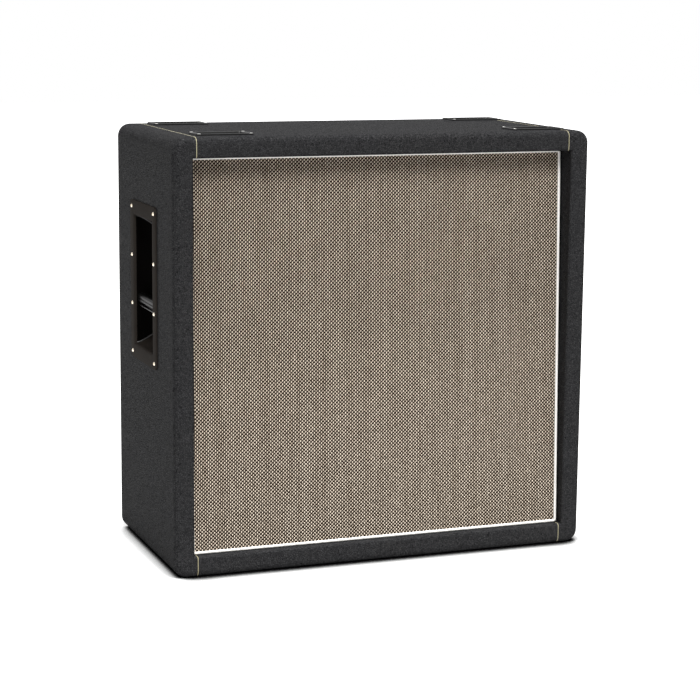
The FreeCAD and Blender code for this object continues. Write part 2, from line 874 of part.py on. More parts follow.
def handle_cup(side):
    body = new_body(f"{side}_cup")
    flange = sketch(body, "flange", "XY_Plane", [centred("flange_width", "flange_height", "flange_corner")])
    pad(body, flange, "flange_thickness")
    outside = half_round("(scoop_width / 2 + cup_wall)", "flange_thickness / 2")
    pad(body, sketch(body, "shell", "XZ_Plane", [outside]), "scoop_height + 2 * cup_wall", both_ways)
    room = half_round("(scoop_width / 2)", "flange_thickness + cut_overrun")
    hollow = pocket(body, sketch(body, "scoop", "XZ_Plane", [room]), "scoop_height", both_ways)
    face = value("flange_thickness")
    round_edges(body, hollow, lambda reach: reach.ZMin > face - tiny, "flange_edge_radius")
    rows = sizes["handle_screw_rows"]
    circles = []
    for column in (-1, 1):
        for row in range(rows):
            across = f"{column} * handle_screw_across / 2"
            up = f"({row} - ({rows} - 1) / 2) * handle_screw_pitch"
            circles.append((across, up, "handle_screw_shank + fit_gap"))
    pocket(body, sketch(body, "screws", "XY_Plane", (), circles), None, both_ways)
    node(f"{side}_handle_cup", handle_turn(body, side))


def handle_grip(side):
    body = new_body(f"{side}_bar")
    middle, depth = "(-grip_drop)", "(-grip_inset)"
    outline = rounded(
        f"({middle} - grip_height / 2)", f"({middle} + grip_height / 2)",
        f"({depth} - grip_thickness / 2)", f"({depth} + grip_thickness / 2)", "grip_round",
    )
    pad(body, sketch(body, "section", "YZ_Plane", [outline]), "scoop_width", both_ways)
    reach = turned(f"{side}_bar_reach", rectangle("0", "scoop_width / 2 - grip_fit", "-scoop_height / 2",
                                                  "scoop_height / 2"))
    node(f"{side}_handle_grip", handle_turn(common(f"{side}_grip", body, reach), side))


for side in sides:
    handle_cup(side)
    handle_grip(side)


# Castor cups on the top and castor sockets underneath

def castor_cup(end, side):
    body = new_body(f"{end}_{side}_dish")
    rim = sketch(body, "rim", "XY_Plane", [centred("dish_width", "dish_length", "dish_corner")])
    pad(body, rim, "dish_rise")
    well = ("dish_width - 2 * dish_rim", "dish_length - 2 * dish_rim")
    tub = sketch(body, "tub", "XY_Plane", [centred(*well, "dish_corner")])
    pad(body, tub, "dish_sink", back=True)
    room = [f"{size} - 2 * dish_wall" for size in well]
    hollow = sketch(body, "hollow", "XY_Plane", [centred(*room, "(dish_corner - dish_wall)")])
    bind(hollow, "AttachmentOffset.Base.z", "dish_rise")
    dish = pocket(body, hollow, "dish_rise + dish_sink - dish_wall")
    face = value("dish_rise")
    round_edges(body, dish, lambda reach: reach.ZMin > face - tiny, "dish_edge_radius")
    move(body, (*dish_place(sides[side], ends[end]), "cab_height"))
    node(f"castor_cup_{end}_{side}", cut(f"{end}_{side}_dish", body, plate_holes))


def castor_socket(end, side):
    body = new_body(f"{end}_{side}_socket")
    plate = sketch(body, "plate", "XY_Plane", [centred("socket_width", "socket_length", "socket_corner")])
    pad(body, plate, "socket_plate")
    tube = sketch(body, "tube", "XY_Plane", (), [("0", "0", "socket_tube_radius")])
    pad(body, tube, "socket_tube_height")
    bore = sketch(body, "bore", "XY_Plane", (), [("0", "0", "stem_bore_radius")])
    pocket(body, bore, "stem_bore_depth", back=True)
    return move(body, (f"{sides[side]} * {castor_x}", f"{ends[end]} * {castor_y}", "0"))


sockets = []
for end in ends:
    for side in sides:
        castor_cup(end, side)
        sockets.append(castor_socket(end, side))
node("castor_sockets", cut("castor_socket", compound("castor_socket_set", sockets), plate_holes))


# Baffle board, cloth and the bead round it

board_size = (f"2 * ({mouth_half} - baffle_gap)", f"{slope_height} - {board_low} - baffle_gap")


def baffle_sheet(name, inward, thickness):
    item = doc.addObject("Part::Box", name)
    bind(item, "Length", board_size[0])
    bind(item, "Width", thickness)
    bind(item, "Height", board_size[1])
    return on_baffle(item, f"-({mouth_half} - baffle_gap)", inward, board_low)


def bolt(name, gap):
    head, shank = f"bolt_head_radius + {gap}", f"bolt_radius + {gap}"
    length = f"{rim_depth} - cloth_thickness + basket_sheet + bolt_nut_height + bolt_end + {gap}"
    return turned(name, [
        ("0", "0"), (head, "0"), (shank, f"bolt_head_height + {gap}"), (shank, length), ("0", length),
    ])


def bolt_nut():
    body = new_body("bolt_nut")
    hole = ("0", "0", "bolt_radius + bolt_clearance")
    profile = sketch(body, "outline", "XZ_Plane", [hexagon("bolt_nut_radius")], [hole])
    pad(body, profile, "bolt_nut_height", back=True)
    return body


bolts = copies("bolt_set", bolt("bolt", "0"), bolt_places("cloth_thickness"))
bolt_holes = copies("bolt_holes", bolt("bolt_hole", "bolt_clearance"), bolt_places("cloth_thickness"))
nuts = copies("nut_set", bolt_nut(), bolt_places(f"{rim_depth} + basket_sheet"))
node("speaker_bolts", compound("speaker_bolt_set", [bolts, nuts]))

cutouts = []
for number, (column, row) in enumerate(drivers, start=1):
    profile = rectangle("0", "baffle_hole_radius", "-cut_overrun", f"{board_back} + cut_overrun")
    cutouts.append(driver_place(turned(f"cutout_{number}", profile), column, row, "0"))
board_blank = baffle_sheet("baffle_blank", "cloth_thickness", "baffle_thickness")
node("baffle_board", cut("baffle", board_blank, compound("cutouts", cutouts), bolt_holes))
node("grille_cloth", baffle_sheet("cloth_sheet", "0", "cloth_thickness"))


def grille_piping():
    body = new_body("piping")
    inset = "(baffle_gap + piping_radius)"
    low, high = f"({board_low} + piping_radius)", f"({slope_height} - {inset})"
    path = rounded(f"-({mouth_half} - {inset})", f"({mouth_half} - {inset})", low, high, "piping_bend")
    path.insert(1, ("0", low))
    spine = sketch(body, "path", "XZ_Plane", [path])
    section = sketch(body, "section", "YZ_Plane", (), [("0", low, "piping_radius")])
    item = body.newObject("PartDesign::AdditivePipe", "piping_pipe")
    item.Profile = section
    item.Spine = (spine, [f"Edge{number}" for number in range(1, len(path) + 1)])
    node("grille_piping", on_baffle(body, "0", "-piping_radius", "0"))


grille_piping()


# Drivers

def basket(number):
    sheet_back = "shelf_depth + basket_sheet"
    body = turned(f"basket_{number}", [
        ("rim_radius", "0"), ("rim_inner_radius", "0"),
        ("shelf_outer_radius", "shelf_depth"), ("shelf_inner_radius", "shelf_depth"),
        ("base_radius", "base_depth"), ("base_hole_radius", "base_depth"),
        ("base_hole_radius", plate_top), ("base_radius + basket_sheet", plate_top),
        ("shelf_inner_radius + basket_sheet", sheet_back), ("shelf_outer_radius + basket_sheet", sheet_back),
        ("rim_inner_radius + basket_sheet", "basket_sheet"), ("rim_radius - basket_sheet", "basket_sheet"),
        ("rim_radius - basket_sheet", "rim_turn"), ("rim_radius", "rim_turn"),
    ])
    near, far, angle = "window_inner_radius", "window_outer_radius", "window_half_angle"
    outline = [
        (f"{near} * cos({angle})", f"-{near} * sin({angle})", near, "right"),
        (f"{far} * cos({angle})", f"-{far} * sin({angle})"),
        (f"{far} * cos({angle})", f"{far} * sin({angle})", far, "left"),
        (f"{near} * cos({angle})", f"{near} * sin({angle})"),
    ]
    doc.recompute()
    window = pocket(body, sketch(body, "window", "XZ_Plane", [outline]), None, both_ways)
    doc.recompute()
    windows = body.newObject("PartDesign::PolarPattern", f"basket_{number}_windows")
    windows.Originals = [window]
    axis = [feature for feature in body.Origin.OriginFeatures if feature.Role == "Y_Axis"][0]
    windows.Axis = (axis, [""])
    windows.Angle = full_turn
    bind(windows, "Occurrences", "window_count")
    body.Tip = windows
    return body


def cone(number):
    # Straight paper cone with the dust cap glued over its neck
    slope = f"((cone_neck_depth - cone_front_depth) / (cone_radius - {neck_radius}))"
    seat = f"(cone_front_depth + (cone_radius - cap_radius) * {slope})"
    ball = "((cap_radius ^ 2 + cap_height ^ 2) / (2 * cap_height))"
    inner = f"({ball} - cap_paper)"
    crown = f"({seat} - cap_height)"
    foot = "(cap_radius - cap_glue)"
    inner_edge = f"({crown} + {ball} - sqrt({inner} ^ 2 - {foot} ^ 2))"
    inner_seat = f"(cone_front_depth + (cone_radius - {foot}) * {slope})"
    return turned(f"cone_{number}_paper", [
        ("0", crown), ("cap_radius", seat, ball, "left"),
        ("cone_radius", "cone_front_depth"), ("cone_radius", "cone_front_depth + cone_paper"),
        (neck_radius, "cone_neck_depth + cone_paper"), (neck_radius, "cone_neck_depth"),
        (foot, inner_seat), (foot, inner_edge), ("0", f"{crown} + cap_paper", inner, "right"),
    ])


def cone_edge(number):
    # Two rolls of doped paper from the cone to the flat that is glued to the rim
    start = "(cone_radius + fit_gap)"
    end = "(gasket_inner_radius - edge_flat)"
    rim = "(gasket_inner_radius - fit_gap)"
    middle = f"(({start} + {end}) / 2)"
    roll = f"(edge_roll_share * ({end} - {start}))"
    low, top = "cone_front_depth", "(-edge_paper)"
    halfway = f"(({low} + {top}) / 2)"
    return turned(f"edge_{number}", [
        (start, low), (middle, halfway, roll, "right"), (end, top, roll, "left"),
        (rim, top), (rim, "0"), (end, "0"),
        (middle, f"{halfway} + edge_paper", roll, "right"), (start, f"{low} + edge_paper", roll, "left"),
    ])


def spider(number):
    # Corrugated cloth from the voice coil to the flat that is glued to the shelf
    end = "(shelf_outer_radius - fit_gap)"
    flat = "shelf_inner_radius"
    third = f"(({flat} - {neck_radius}) / 3)"
    top, low = "(shelf_depth - spider_cloth)", "shelf_depth"
    one, two = f"({neck_radius} + {third})", f"({neck_radius} + 2 * {third})"
    return turned(f"spider_{number}", [
        (neck_radius, top), (one, f"{top} - spider_wave"), (two, f"{top} + spider_wave"), (flat, top),
        (end, top), (end, low),
        (flat, low), (two, f"{low} + spider_wave"), (one, f"{low} - spider_wave"), (neck_radius, low),
    ])


def ring(name, inner, outer, top, thickness):
    return turned(name, rectangle(inner, outer, top, f"{top} + {thickness}"))


def yoke(number):
    back = f"({yoke_top} + plate_thickness)"
    return turned(f"yoke_{number}", [
        ("0", "base_depth"), ("pole_radius", "base_depth"), ("pole_radius", yoke_top),
        ("plate_radius", yoke_top), ("plate_radius", f"{back} - yoke_chamfer"),
        ("plate_radius - yoke_chamfer", back), ("0", back),
    ])


tag_centre = "(driver_pitch / 2 - (shelf_outer_radius + shelf_inner_radius + basket_sheet) / 2)"
tag_front = f"({rim_depth} + shelf_depth + basket_sheet)"


def terminal(number, column, row):
    # Tag strip on the back of the spider shelf, on the side towards the middle of the case
    item = doc.addObject("Part::Box", f"tag_strip_{number}")
    bind(item, "Length", "tag_reach")
    bind(item, "Width", "tag_height")
    bind(item, "Height", "tag_width")
    across = f"{column} * {tag_centre} - tag_reach / 2"
    return on_baffle(item, across, tag_front, f"{driver_up(row)} - tag_width / 2")


groups = {}
for number, (column, row) in enumerate(drivers, start=1):
    own = {
        "cone": cone(number),
        "cone_edge": cone_edge(number),
        "spider": spider(number),
        "voice_coil": ring(f"coil_{number}", "coil_bore_radius", "coil_outer_radius", "coil_top_depth",
                           "(coil_bottom_depth - coil_top_depth)"),
    }
    shared = {
        "speaker_gaskets": ring(f"gasket_{number}", "gasket_inner_radius", "rim_radius", "-gasket_thickness",
                                "gasket_thickness"),
        "speaker_top_plates": ring(f"top_plate_{number}", "plate_hole_radius", "plate_radius", plate_top,
                                   "plate_thickness"),
        "speaker_magnets": ring(f"magnet_{number}", "magnet_hole_radius", "magnet_radius", magnet_top,
                                "magnet_thickness"),
        "speaker_yokes": yoke(number),
    }
    for name, item in own.items():
        node(f"{name}_{number}", driver_place(item, column, row, rim_depth))
    for name, item in shared.items():
        groups.setdefault(name, []).append(driver_place(item, column, row, rim_depth))
    groups.setdefault("speaker_terminals", []).append(terminal(number, column, row))
    frame = driver_place(basket(number), column, row, rim_depth)
    node(f"speaker_basket_{number}", cut(f"basket_{number}", frame, bolt_holes))

for name, items in groups.items():
    group = compound(name + "_set", items)
    node(name, cut(name, group, bolt_holes) if name == "speaker_gaskets" else group)


# Wiring: on each side two drivers in series, from the jack's tags over the tag strips

def jack_end(step, run):
    inward = f"{back_face} - jack_body_length - fit_gap - {run}"
    return "lead_spread", inward, f"jack_z + {step} * lead_spread"


def tag_end(row, step, run):
    across = f"{tag_centre} - tag_reach / 2 - fit_gap - {run}"
    return baffle_point(across, f"{tag_front} + tag_height / 2", f"{driver_up(row)} + {step} * lead_spread")


past_brace = ("brace_width / 2 + lead_clearance", "0", "cab_height / 2")
lead_routes = [
    [jack_end(1, "0"), jack_end(1, "lead_run"), past_brace, tag_end(1, 1, "lead_run"), tag_end(1, 1, "0")],
    [tag_end(1, -1, "0"), tag_end(1, -1, "lead_run"), tag_end(-1, 1, "lead_run"), tag_end(-1, 1, "0")],
    [tag_end(-1, -1, "0"), tag_end(-1, -1, "lead_run"), jack_end(-1, "lead_run"), jack_end(-1, "0")],
]


def lead(route, mirror):
    points = [FreeCAD.Vector(mirror * value(x), value(y), value(z)) for x, y, z in route]
    edges = []
    start = points[0]
    for before, corner, after in zip(points, points[1:], points[2:]):
        come, leave = corner - before, after - corner
        reach = sizes["lead_bend_share"] * min(come.Length, leave.Length)
        into = corner - come.normalize() * reach
        out = corner + leave.normalize() * reach
        turn = come.getAngle(leave)
        radius = reach / math.tan(turn / 2)
        inward = (leave - come).normalize()
        middle = corner + inward * (radius / math.cos(turn / 2) - radius)
        edges.append(Part.LineSegment(start, into).toShape())
        edges.append(Part.Arc(into, middle, out).toShape())
        start = out
    edges.append(Part.LineSegment(start, points[-1]).toShape())
    section = Part.Wire(Part.makeCircle(sizes["lead_radius"], points[0], points[1] - points[0]))
    return Part.Wire(edges).makePipeShell([section], True, False)


wiring = doc.addObject("Part::Feature", "wiring")
wiring.Shape = Part.makeCompound([lead(route, mirror) for route in lead_routes for mirror in sides.values()])
node("wiring_harness", wiring)


# Check every object and write one file for each sub-part

doc.recompute()
for item in doc.Objects:
    if "Invalid" in item.State or "Error" in item.State:
        raise RuntimeError(f"{item.Name} failed: {item.State}")
os.makedirs("parts", exist_ok=True)
for name, item in nodes.items():
    shape = item.Shape
    if shape.isNull() or not shape.isValid() or not shape.Solids:
        raise RuntimeError(f"{name} has no valid solid")
    shape.exportStep(f"parts/{name}.step")
print(len(nodes), "sub-parts written")
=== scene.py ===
import bmesh
import bpy
import json
import math
from mathutils import Matrix, Vector


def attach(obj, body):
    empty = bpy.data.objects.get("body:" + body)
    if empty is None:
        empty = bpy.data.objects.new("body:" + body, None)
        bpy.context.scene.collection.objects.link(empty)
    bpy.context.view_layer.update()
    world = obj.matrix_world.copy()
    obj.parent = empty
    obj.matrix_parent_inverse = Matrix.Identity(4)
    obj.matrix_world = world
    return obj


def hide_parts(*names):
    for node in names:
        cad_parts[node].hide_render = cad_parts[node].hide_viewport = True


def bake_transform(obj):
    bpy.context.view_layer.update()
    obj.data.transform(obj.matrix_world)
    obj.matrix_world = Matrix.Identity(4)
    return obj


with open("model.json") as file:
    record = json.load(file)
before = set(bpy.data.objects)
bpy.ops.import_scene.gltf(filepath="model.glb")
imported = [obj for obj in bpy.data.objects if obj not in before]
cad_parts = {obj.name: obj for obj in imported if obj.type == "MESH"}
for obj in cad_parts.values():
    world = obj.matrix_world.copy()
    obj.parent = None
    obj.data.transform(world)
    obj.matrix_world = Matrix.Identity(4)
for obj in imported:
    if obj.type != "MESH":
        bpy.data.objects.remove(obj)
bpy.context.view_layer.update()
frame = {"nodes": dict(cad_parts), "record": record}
mm = 0.001  # lengths below are in millimetres, meshes in metres
scene = bpy.context.scene
scene.view_settings.view_transform = "Standard"
print("frame loaded with", len(frame["nodes"]), "nodes")

case = {
    "halfWidth": 385.0, "halfDepth": 187.5, "height": 755.0,
    "corner": 22.0, "edge": 11.0, "lip": 35.5, "lipEdge": 4.5,
    "recess": 18.5, "lean": math.radians(1.91), "turnIn": 12.0,
    "rearFrame": 19.0, "rearTurnIn": 7.0, "skin": 0.9,
    "seam": 344.0, "seamWidth": 1.6, "support": 1.6,
    "cornerSteps": 10, "edgeSteps": 8,
}
mouthHeight = case["height"] - 2 * case["lip"]
clothHeight = mouthHeight / math.cos(case["lean"])  # along the leaning baffle


def addObject(name, data):
    item = bpy.data.objects.new(name, data)
    scene.collection.objects.link(item)
    return item


# camera, fitted to the corners of the case in the photograph

cameraFit = {
    "place": (-1.301419, -3.428617, 1.000130), "turn": 0.3634267, "dip": 0.1762913, "roll": 0.0096122,
    "lens": 104.3659, "sensor": 36.0,
}


def addCamera():
    data = bpy.data.cameras.new("photoCamera")
    data.sensor_fit = "HORIZONTAL"
    data.sensor_width = cameraFit["sensor"]
    data.lens = cameraFit["lens"]
    data.clip_start, data.clip_end = 0.1, 100
    turn, dip, roll = cameraFit["turn"], cameraFit["dip"], cameraFit["roll"]
    ahead = Vector((math.sin(turn) * math.cos(dip), math.cos(turn) * math.cos(dip), -math.sin(dip)))
    right = ahead.cross(Vector((0, 0, 1))).normalized()
    up = right.cross(ahead)
    tiltedRight = right * math.cos(roll) + up * math.sin(roll)
    tiltedUp = up * math.cos(roll) - right * math.sin(roll)
    axes = Matrix((tiltedRight, tiltedUp, -ahead)).transposed().to_4x4()
    scene.camera = addObject("photoCamera", data)
    scene.camera.matrix_world = Matrix.Translation(Vector(cameraFit["place"])) @ axes


addCamera()


# nodes, from which the light, the finishes and what repeats are wired

def feed(tree, source, target):
    # a socket is linked, a plain number or colour is set
    if isinstance(source, bpy.types.NodeSocket):
        tree.links.new(source, target)
    else:
        target.default_value = source


def addNode(tree, kind, feeds=None, **settings):
    item = tree.nodes.new(kind)
    for name, value in settings.items():
        setattr(item, name, value)
    for label, source in (feeds or {}).items():
        feed(tree, source, item.inputs[label])
    return item


def calc(tree, operation, *sources):
    return addNode(tree, "ShaderNodeMath", dict(enumerate(sources)), operation=operation).outputs[0]


def stretch(tree, source, low, high, outLow=0.0, outHigh=1.0):
    feeds = {"Value": source, "From Min": low, "From Max": high, "To Min": outLow, "To Max": outHigh}
    return addNode(tree, "ShaderNodeMapRange", feeds, interpolation_type="SMOOTHSTEP").outputs["Result"]


def scaled(tree, vector, factor):
    if isinstance(factor, tuple):
        return addNode(tree, "ShaderNodeVectorMath", {0: vector, 1: factor}, operation="MULTIPLY").outputs[0]
    return addNode(tree, "ShaderNodeVectorMath", {0: vector, "Scale": factor}, operation="SCALE").outputs[0]


def joinVector(tree, **parts):
    return addNode(tree, "ShaderNodeCombineXYZ", parts).outputs[0]


def noise(tree, vector, scale, detail=2.0, rough=0.5, output="Fac"):
    feeds = {"Vector": vector, "Scale": scale, "Detail": detail, "Roughness": rough}
    return addNode(tree, "ShaderNodeTexNoise", feeds).outputs[output]


def opaque(colour):
    return (*colour, 1.0) if isinstance(colour, tuple) else colour


def blendColours(tree, factor, first, second):
    feeds = {0: factor, 6: opaque(first), 7: opaque(second)}
    return addNode(tree, "ShaderNodeMix", feeds, data_type="RGBA").outputs[2]


def newTree(kind, name, inputs, outputs):
    tree = bpy.data.node_groups.new(name, kind)
    for label, form, start in inputs:
        socket = tree.interface.new_socket(label, in_out="INPUT", socket_type="NodeSocket" + form)
        if start is not None:
            socket.default_value = start
    for label, form in outputs:
        tree.interface.new_socket(label, in_out="OUTPUT", socket_type="NodeSocket" + form)
    return tree, tree.nodes.new("NodeGroupInput").outputs, tree.nodes.new("NodeGroupOutput").inputs


def putOut(tree, out, **made):
    for label, source in made.items():
        tree.links.new(source, out[label])
    return tree


# floor with a painted contact shadow, white surroundings and studio light

light = {
    "worldLevel": 0.18, "worldSeen": 1.0,
    "lamps": {
        "keyLight": {"level": 2.95, "turn": (math.radians(43), 0, math.radians(-7)),
                     "spread": math.radians(28)},
        "topLight": {"level": 4.2, "turn": (math.radians(4), math.radians(3), 0), "spread": math.radians(7)},
    },
    "floorColour": (0.5, 0.5, 0.5), "floorGlow": 0.86, "floorHalf": 14.0,
    # painted contact shadow on the floor: its colour, reach, ambient occlusion range and leaning normal
    "contactColour": (0.002, 0.002, 0.002), "contactReach": 0.07, "contactDark": 0.38, "contactClear": 0.82,
    "contactLean": (-0.12, 0.55, 1.0), "contactSamples": 24,
}


def seenDirectly(tree):
    # 1 for what the camera, a reflection or a clear piece shows
    path = tree.nodes.new("ShaderNodeLightPath").outputs
    straight = calc(tree, "MAXIMUM", path["Is Camera Ray"], path["Is Glossy Ray"])
    return calc(tree, "MAXIMUM", straight, path["Is Transmission Ray"])


def addWorld():
    world = bpy.data.worlds.new("whiteStudio")
    scene.world = world
    world.use_nodes = True
    tree = world.node_tree
    tree.nodes.clear()
    feeds = {0: seenDirectly(tree)}
    for k, level in ((1, light["worldLevel"]), (2, light["worldSeen"])):
        white = addNode(tree, "ShaderNodeBackground", {"Color": (1, 1, 1, 1), "Strength": level})
        feeds[k] = white.outputs[0]
    mix = addNode(tree, "ShaderNodeMixShader", feeds)
    addNode(tree, "ShaderNodeOutputWorld", {0: mix.outputs[0]})


def addLamps():
    for name, values in light["lamps"].items():
        data = bpy.data.lights.new(name, "SUN")
        data.energy = values["level"]
        data.angle = values["spread"]
        addObject(name, data).rotation_euler = values["turn"]


def addFloor():
    half = light["floorHalf"]
    mesh = bpy.data.meshes.new("studioFloor")
    corners = [(-half, -half, 0), (half, -half, 0), (half, half, 0), (-half, half, 0)]
    mesh.from_pydata(corners, [], [(0, 1, 2, 3)])
    material = bpy.data.materials.new("whiteFloor")
    material.use_nodes = True
    tree = material.node_tree
    tree.nodes.clear()
    # painted contact shadow: ambient occlusion about a leaning normal darkens the floor's colour and glow
    # near the case
    x, y, z = Vector(light["contactLean"]).normalized()
    lean = joinVector(tree, X=x, Y=y, Z=z)
    near = addNode(tree, "ShaderNodeAmbientOcclusion", {"Distance": light["contactReach"], "Normal": lean},
                   samples=light["contactSamples"])
    shade = stretch(tree, near.outputs["AO"], light["contactDark"], light["contactClear"])
    seen = seenDirectly(tree)
    # painted shadow: the dark line under the case is only for the eye, the light that the floor throws stays
    bright = calc(tree, "MAXIMUM", shade, calc(tree, "SUBTRACT", 1.0, seen))
    colour = blendColours(tree, bright, light["contactColour"], light["floorColour"])
    paint = addNode(tree, "ShaderNodeBsdfDiffuse", {"Color": colour})
    level = calc(tree, "MULTIPLY", seen, calc(tree, "MULTIPLY", shade, light["floorGlow"]))
    glow = addNode(tree, "ShaderNodeEmission", {"Strength": level})
    both = addNode(tree, "ShaderNodeAddShader", {0: paint.outputs[0], 1: glow.outputs[0]})
    addNode(tree, "ShaderNodeOutputMaterial", {0: both.outputs[0]})
    mesh.materials.append(material)
    item = addObject("studioFloor", mesh)


addWorld()
addLamps()
addFloor()
print("camera, light and floor are set")


# shader groups that several finishes share

def shaderGroup(name, outputs, **inputs):
    rows = [("Vector", "Vector", None)] + [(label, "Float", start) for label, start in inputs.items()]
    return newTree("ShaderNodeTree", name, rows, [(label, "Float") for label in outputs])


def pebbleGroup():
    # pebbled grain of embossed vinyl: warped cells with soft creases between them, and a mask for painted
    # shade in the creases
    outputs = ("Height", "Crease", "Tone", "Shade")
    group, given, out = shaderGroup("pebbleGrain", outputs, Cells=520.0, Warp=0.6)
    grid = scaled(group, given["Vector"], given["Cells"])
    shift = scaled(group, noise(group, grid, 0.8, output="Color"), given["Warp"])
    moved = addNode(group, "ShaderNodeVectorMath", {0: grid, 1: shift}, operation="ADD").outputs[0]
    spread = {"Vector": moved, "Scale": 1.0, "Randomness": 0.95}
    border = addNode(group, "ShaderNodeTexVoronoi", spread, feature="DISTANCE_TO_EDGE").outputs["Distance"]
    each = addNode(group, "ShaderNodeTexVoronoi", spread).outputs["Color"]  # a shade for each pebble
    lumps = noise(group, grid, 0.33, 3.0)
    fine = noise(group, grid, 3.1)
    cloud = noise(group, given["Vector"], 9.0, 3.0)
    height = calc(group, "MULTIPLY_ADD", lumps, 0.55, stretch(group, border, 0.0, 0.34))
    return putOut(
        group, out, Height=calc(group, "MULTIPLY_ADD", fine, 0.16, height),
        Crease=stretch(group, border, 0.0, 0.12, 1.0, 0.0), Tone=stretch(group, cloud, 0.32, 0.7),
        Shade=addNode(group, "ShaderNodeSeparateColor", {0: each}).outputs[0],
    )


def mouldGroup():
    # fine sparkle of a moulded or painted surface, with slow cloudy changes
    group, given, out = shaderGroup("mouldTexture", ("Height", "Tone", "Rub"), Grains=900.0)
    grid = scaled(group, given["Vector"], given["Grains"])
    cloud = noise(group, given["Vector"], 14.0, 4.0)
    rubbed = noise(group, scaled(group, given["Vector"], (1.0, 1.0, 7.0)), 45.0, 4.0, 0.7)
    return putOut(group, out, Height=noise(group, grid, 1.0, 3.0, 0.6), Tone=stretch(group, cloud, 0.3, 0.72),
                  Rub=stretch(group, rubbed, 0.42, 0.75))


def fibreGroup():
    # twisted yarn: short fibres that lean across the thread
    group, given, out = shaderGroup("yarnFibre", ("Height", "Tone"), Twists=900.0)
    grid = scaled(group, given["Vector"], given["Twists"])
    feeds = {"Vector": grid, "Scale": 0.5, "Distortion": 3.0, "Detail": 2.0}
    thread = addNode(group, "ShaderNodeTexWave", feeds, wave_type="BANDS", bands_direction="DIAGONAL")
    cloud = noise(group, scaled(group, given["Vector"], (1.0, 1.0, 0.12)), 60.0, 3.0)
    return putOut(group, out, Height=thread.outputs["Fac"], Tone=stretch(group, cloud, 0.28, 0.74))


def grainGroup():
    # long wood grain along X
    group, given, out = shaderGroup("woodGrain", ("Tone", "Height"), Rings=60.0)
    long = scaled(group, scaled(group, given["Vector"], (0.08, 1.0, 1.0)), given["Rings"])
    rings = addNode(group, "ShaderNodeTexWave", {
        "Vector": long, "Scale": 1.0, "Distortion": 7.0, "Detail": 3.0, "Detail Scale": 1.6,
    }, wave_type="RINGS", rings_direction="X").outputs["Fac"]
    pores = noise(group, scaled(group, given["Vector"], (0.03, 1.0, 1.0)), 1400.0)
    tone = calc(group, "MULTIPLY_ADD", pores, 0.45, calc(group, "MULTIPLY", rings, 0.55))
    return putOut(group, out, Tone=tone, Height=pores)


groups = {"pebble": pebbleGroup(), "mould": mouldGroup(), "fibre": fibreGroup(), "wood": grainGroup()}


# finishes

def startMaterial(name):
    material = bpy.data.materials.new(name)
    material.use_nodes = True
    tree = material.node_tree
    place = tree.nodes.new("ShaderNodeTexCoord").outputs["Object"]
    return material, tree, tree.nodes["Principled BSDF"], place


def useGroup(tree, kind, vector, **values):
    return addNode(tree, "ShaderNodeGroup", {"Vector": vector, **values}, node_tree=groups[kind]).outputs


def setShader(tree, shader, **values):
    # the names of the shader's sockets, written without spaces
    sockets = {socket.name.replace(" ", ""): socket for socket in shader.inputs}
    for label, source in values.items():
        feed(tree, source, sockets[label])


def bump(tree, height, strength, distance):
    feeds = {"Strength": strength, "Distance": distance * mm, "Height": height}
    return addNode(tree, "ShaderNodeBump", feeds).outputs["Normal"]


def thinCoat(tree, shader, weight, rough):
    # all of the shine comes from a thin top coat
    setShader(tree, shader, SpecularIORLevel=0.0, CoatRoughness=rough, CoatWeight=weight)


# crease is the colour of the painted shade in the creases of the grain
vinyl = {
    "top": (0.0395, 0.0393, 0.0412), "pale": (0.0415, 0.0411, 0.0418), "deep": (0.023, 0.023, 0.024),
    "crease": (0.006, 0.006, 0.0065), "cells": 340.0, "bump": 1.0, "depth": 0.42, "rough": 0.8,
    "coat": 0.17, "coatLow": 0.026, "coatRough": 0.27, "coatFrom": 0.7, "coatTo": 1.5,
}


def vinylFinish(name):
    material, tree, shader, place = startMaterial(name)
    grain = useGroup(tree, "pebble", place, Cells=vinyl["cells"])
    body = blendColours(tree, grain["Tone"], vinyl["top"], vinyl["pale"])
    body = blendColours(tree, grain["Shade"], vinyl["deep"], body)
    # the creases between pebbles take a painted shade
    setShader(tree, shader, BaseColor=blendColours(tree, grain["Crease"], body, vinyl["crease"]),
              Roughness=vinyl["rough"], Normal=bump(tree, grain["Height"], vinyl["bump"], vinyl["depth"]))
    # the raised grain shines most
    raised = stretch(tree, grain["Height"], vinyl["coatFrom"], vinyl["coatTo"],
                     vinyl["coatLow"], vinyl["coat"])
    thinCoat(tree, shader, raised, vinyl["coatRough"])
    return material


def mouldedFinish(name, colour, pale, smooth, dull, grains=900.0, strength=0.15, depth=0.12,
                  coat=None, metal=0.0):
    material, tree, shader, place = startMaterial(name)
    mould = useGroup(tree, "mould", place, Grains=grains)
    setShader(tree, shader, BaseColor=blendColours(tree, mould["Tone"], colour, pale), Metallic=metal,
              Roughness=stretch(tree, mould["Rub"], 0.0, 1.0, smooth, dull),
              Normal=bump(tree, mould["Height"], strength, depth))
    if coat is not None:
        thinCoat(tree, shader, coat, (smooth + dull) / 2)
    return material


def metalFinish(name, colour, pale, smooth, dull, grains=1600.0):
    return mouldedFinish(name, colour, pale, smooth, dull, grains, 0.08, 0.05, metal=1.0)


def yarnFinish(name, low, high, twists, sheen):
    # each thread has its own shade in the attribute threadShade
    material, tree, shader, place = startMaterial(name)
    fibre = useGroup(tree, "fibre", place, Twists=twists)
    shade = addNode(tree, "ShaderNodeAttribute", attribute_name="threadShade").outputs["Fac"]
    mix = calc(tree, "MULTIPLY_ADD", fibre["Tone"], 0.3, calc(tree, "MULTIPLY", shade, 0.7))
    setShader(tree, shader, BaseColor=blendColours(tree, mix, low, high), Roughness=0.85,
              SpecularIORLevel=0.08, SheenWeight=sheen, SheenRoughness=0.5,
              Normal=bump(tree, fibre["Height"], 0.4, 0.18))
    return material


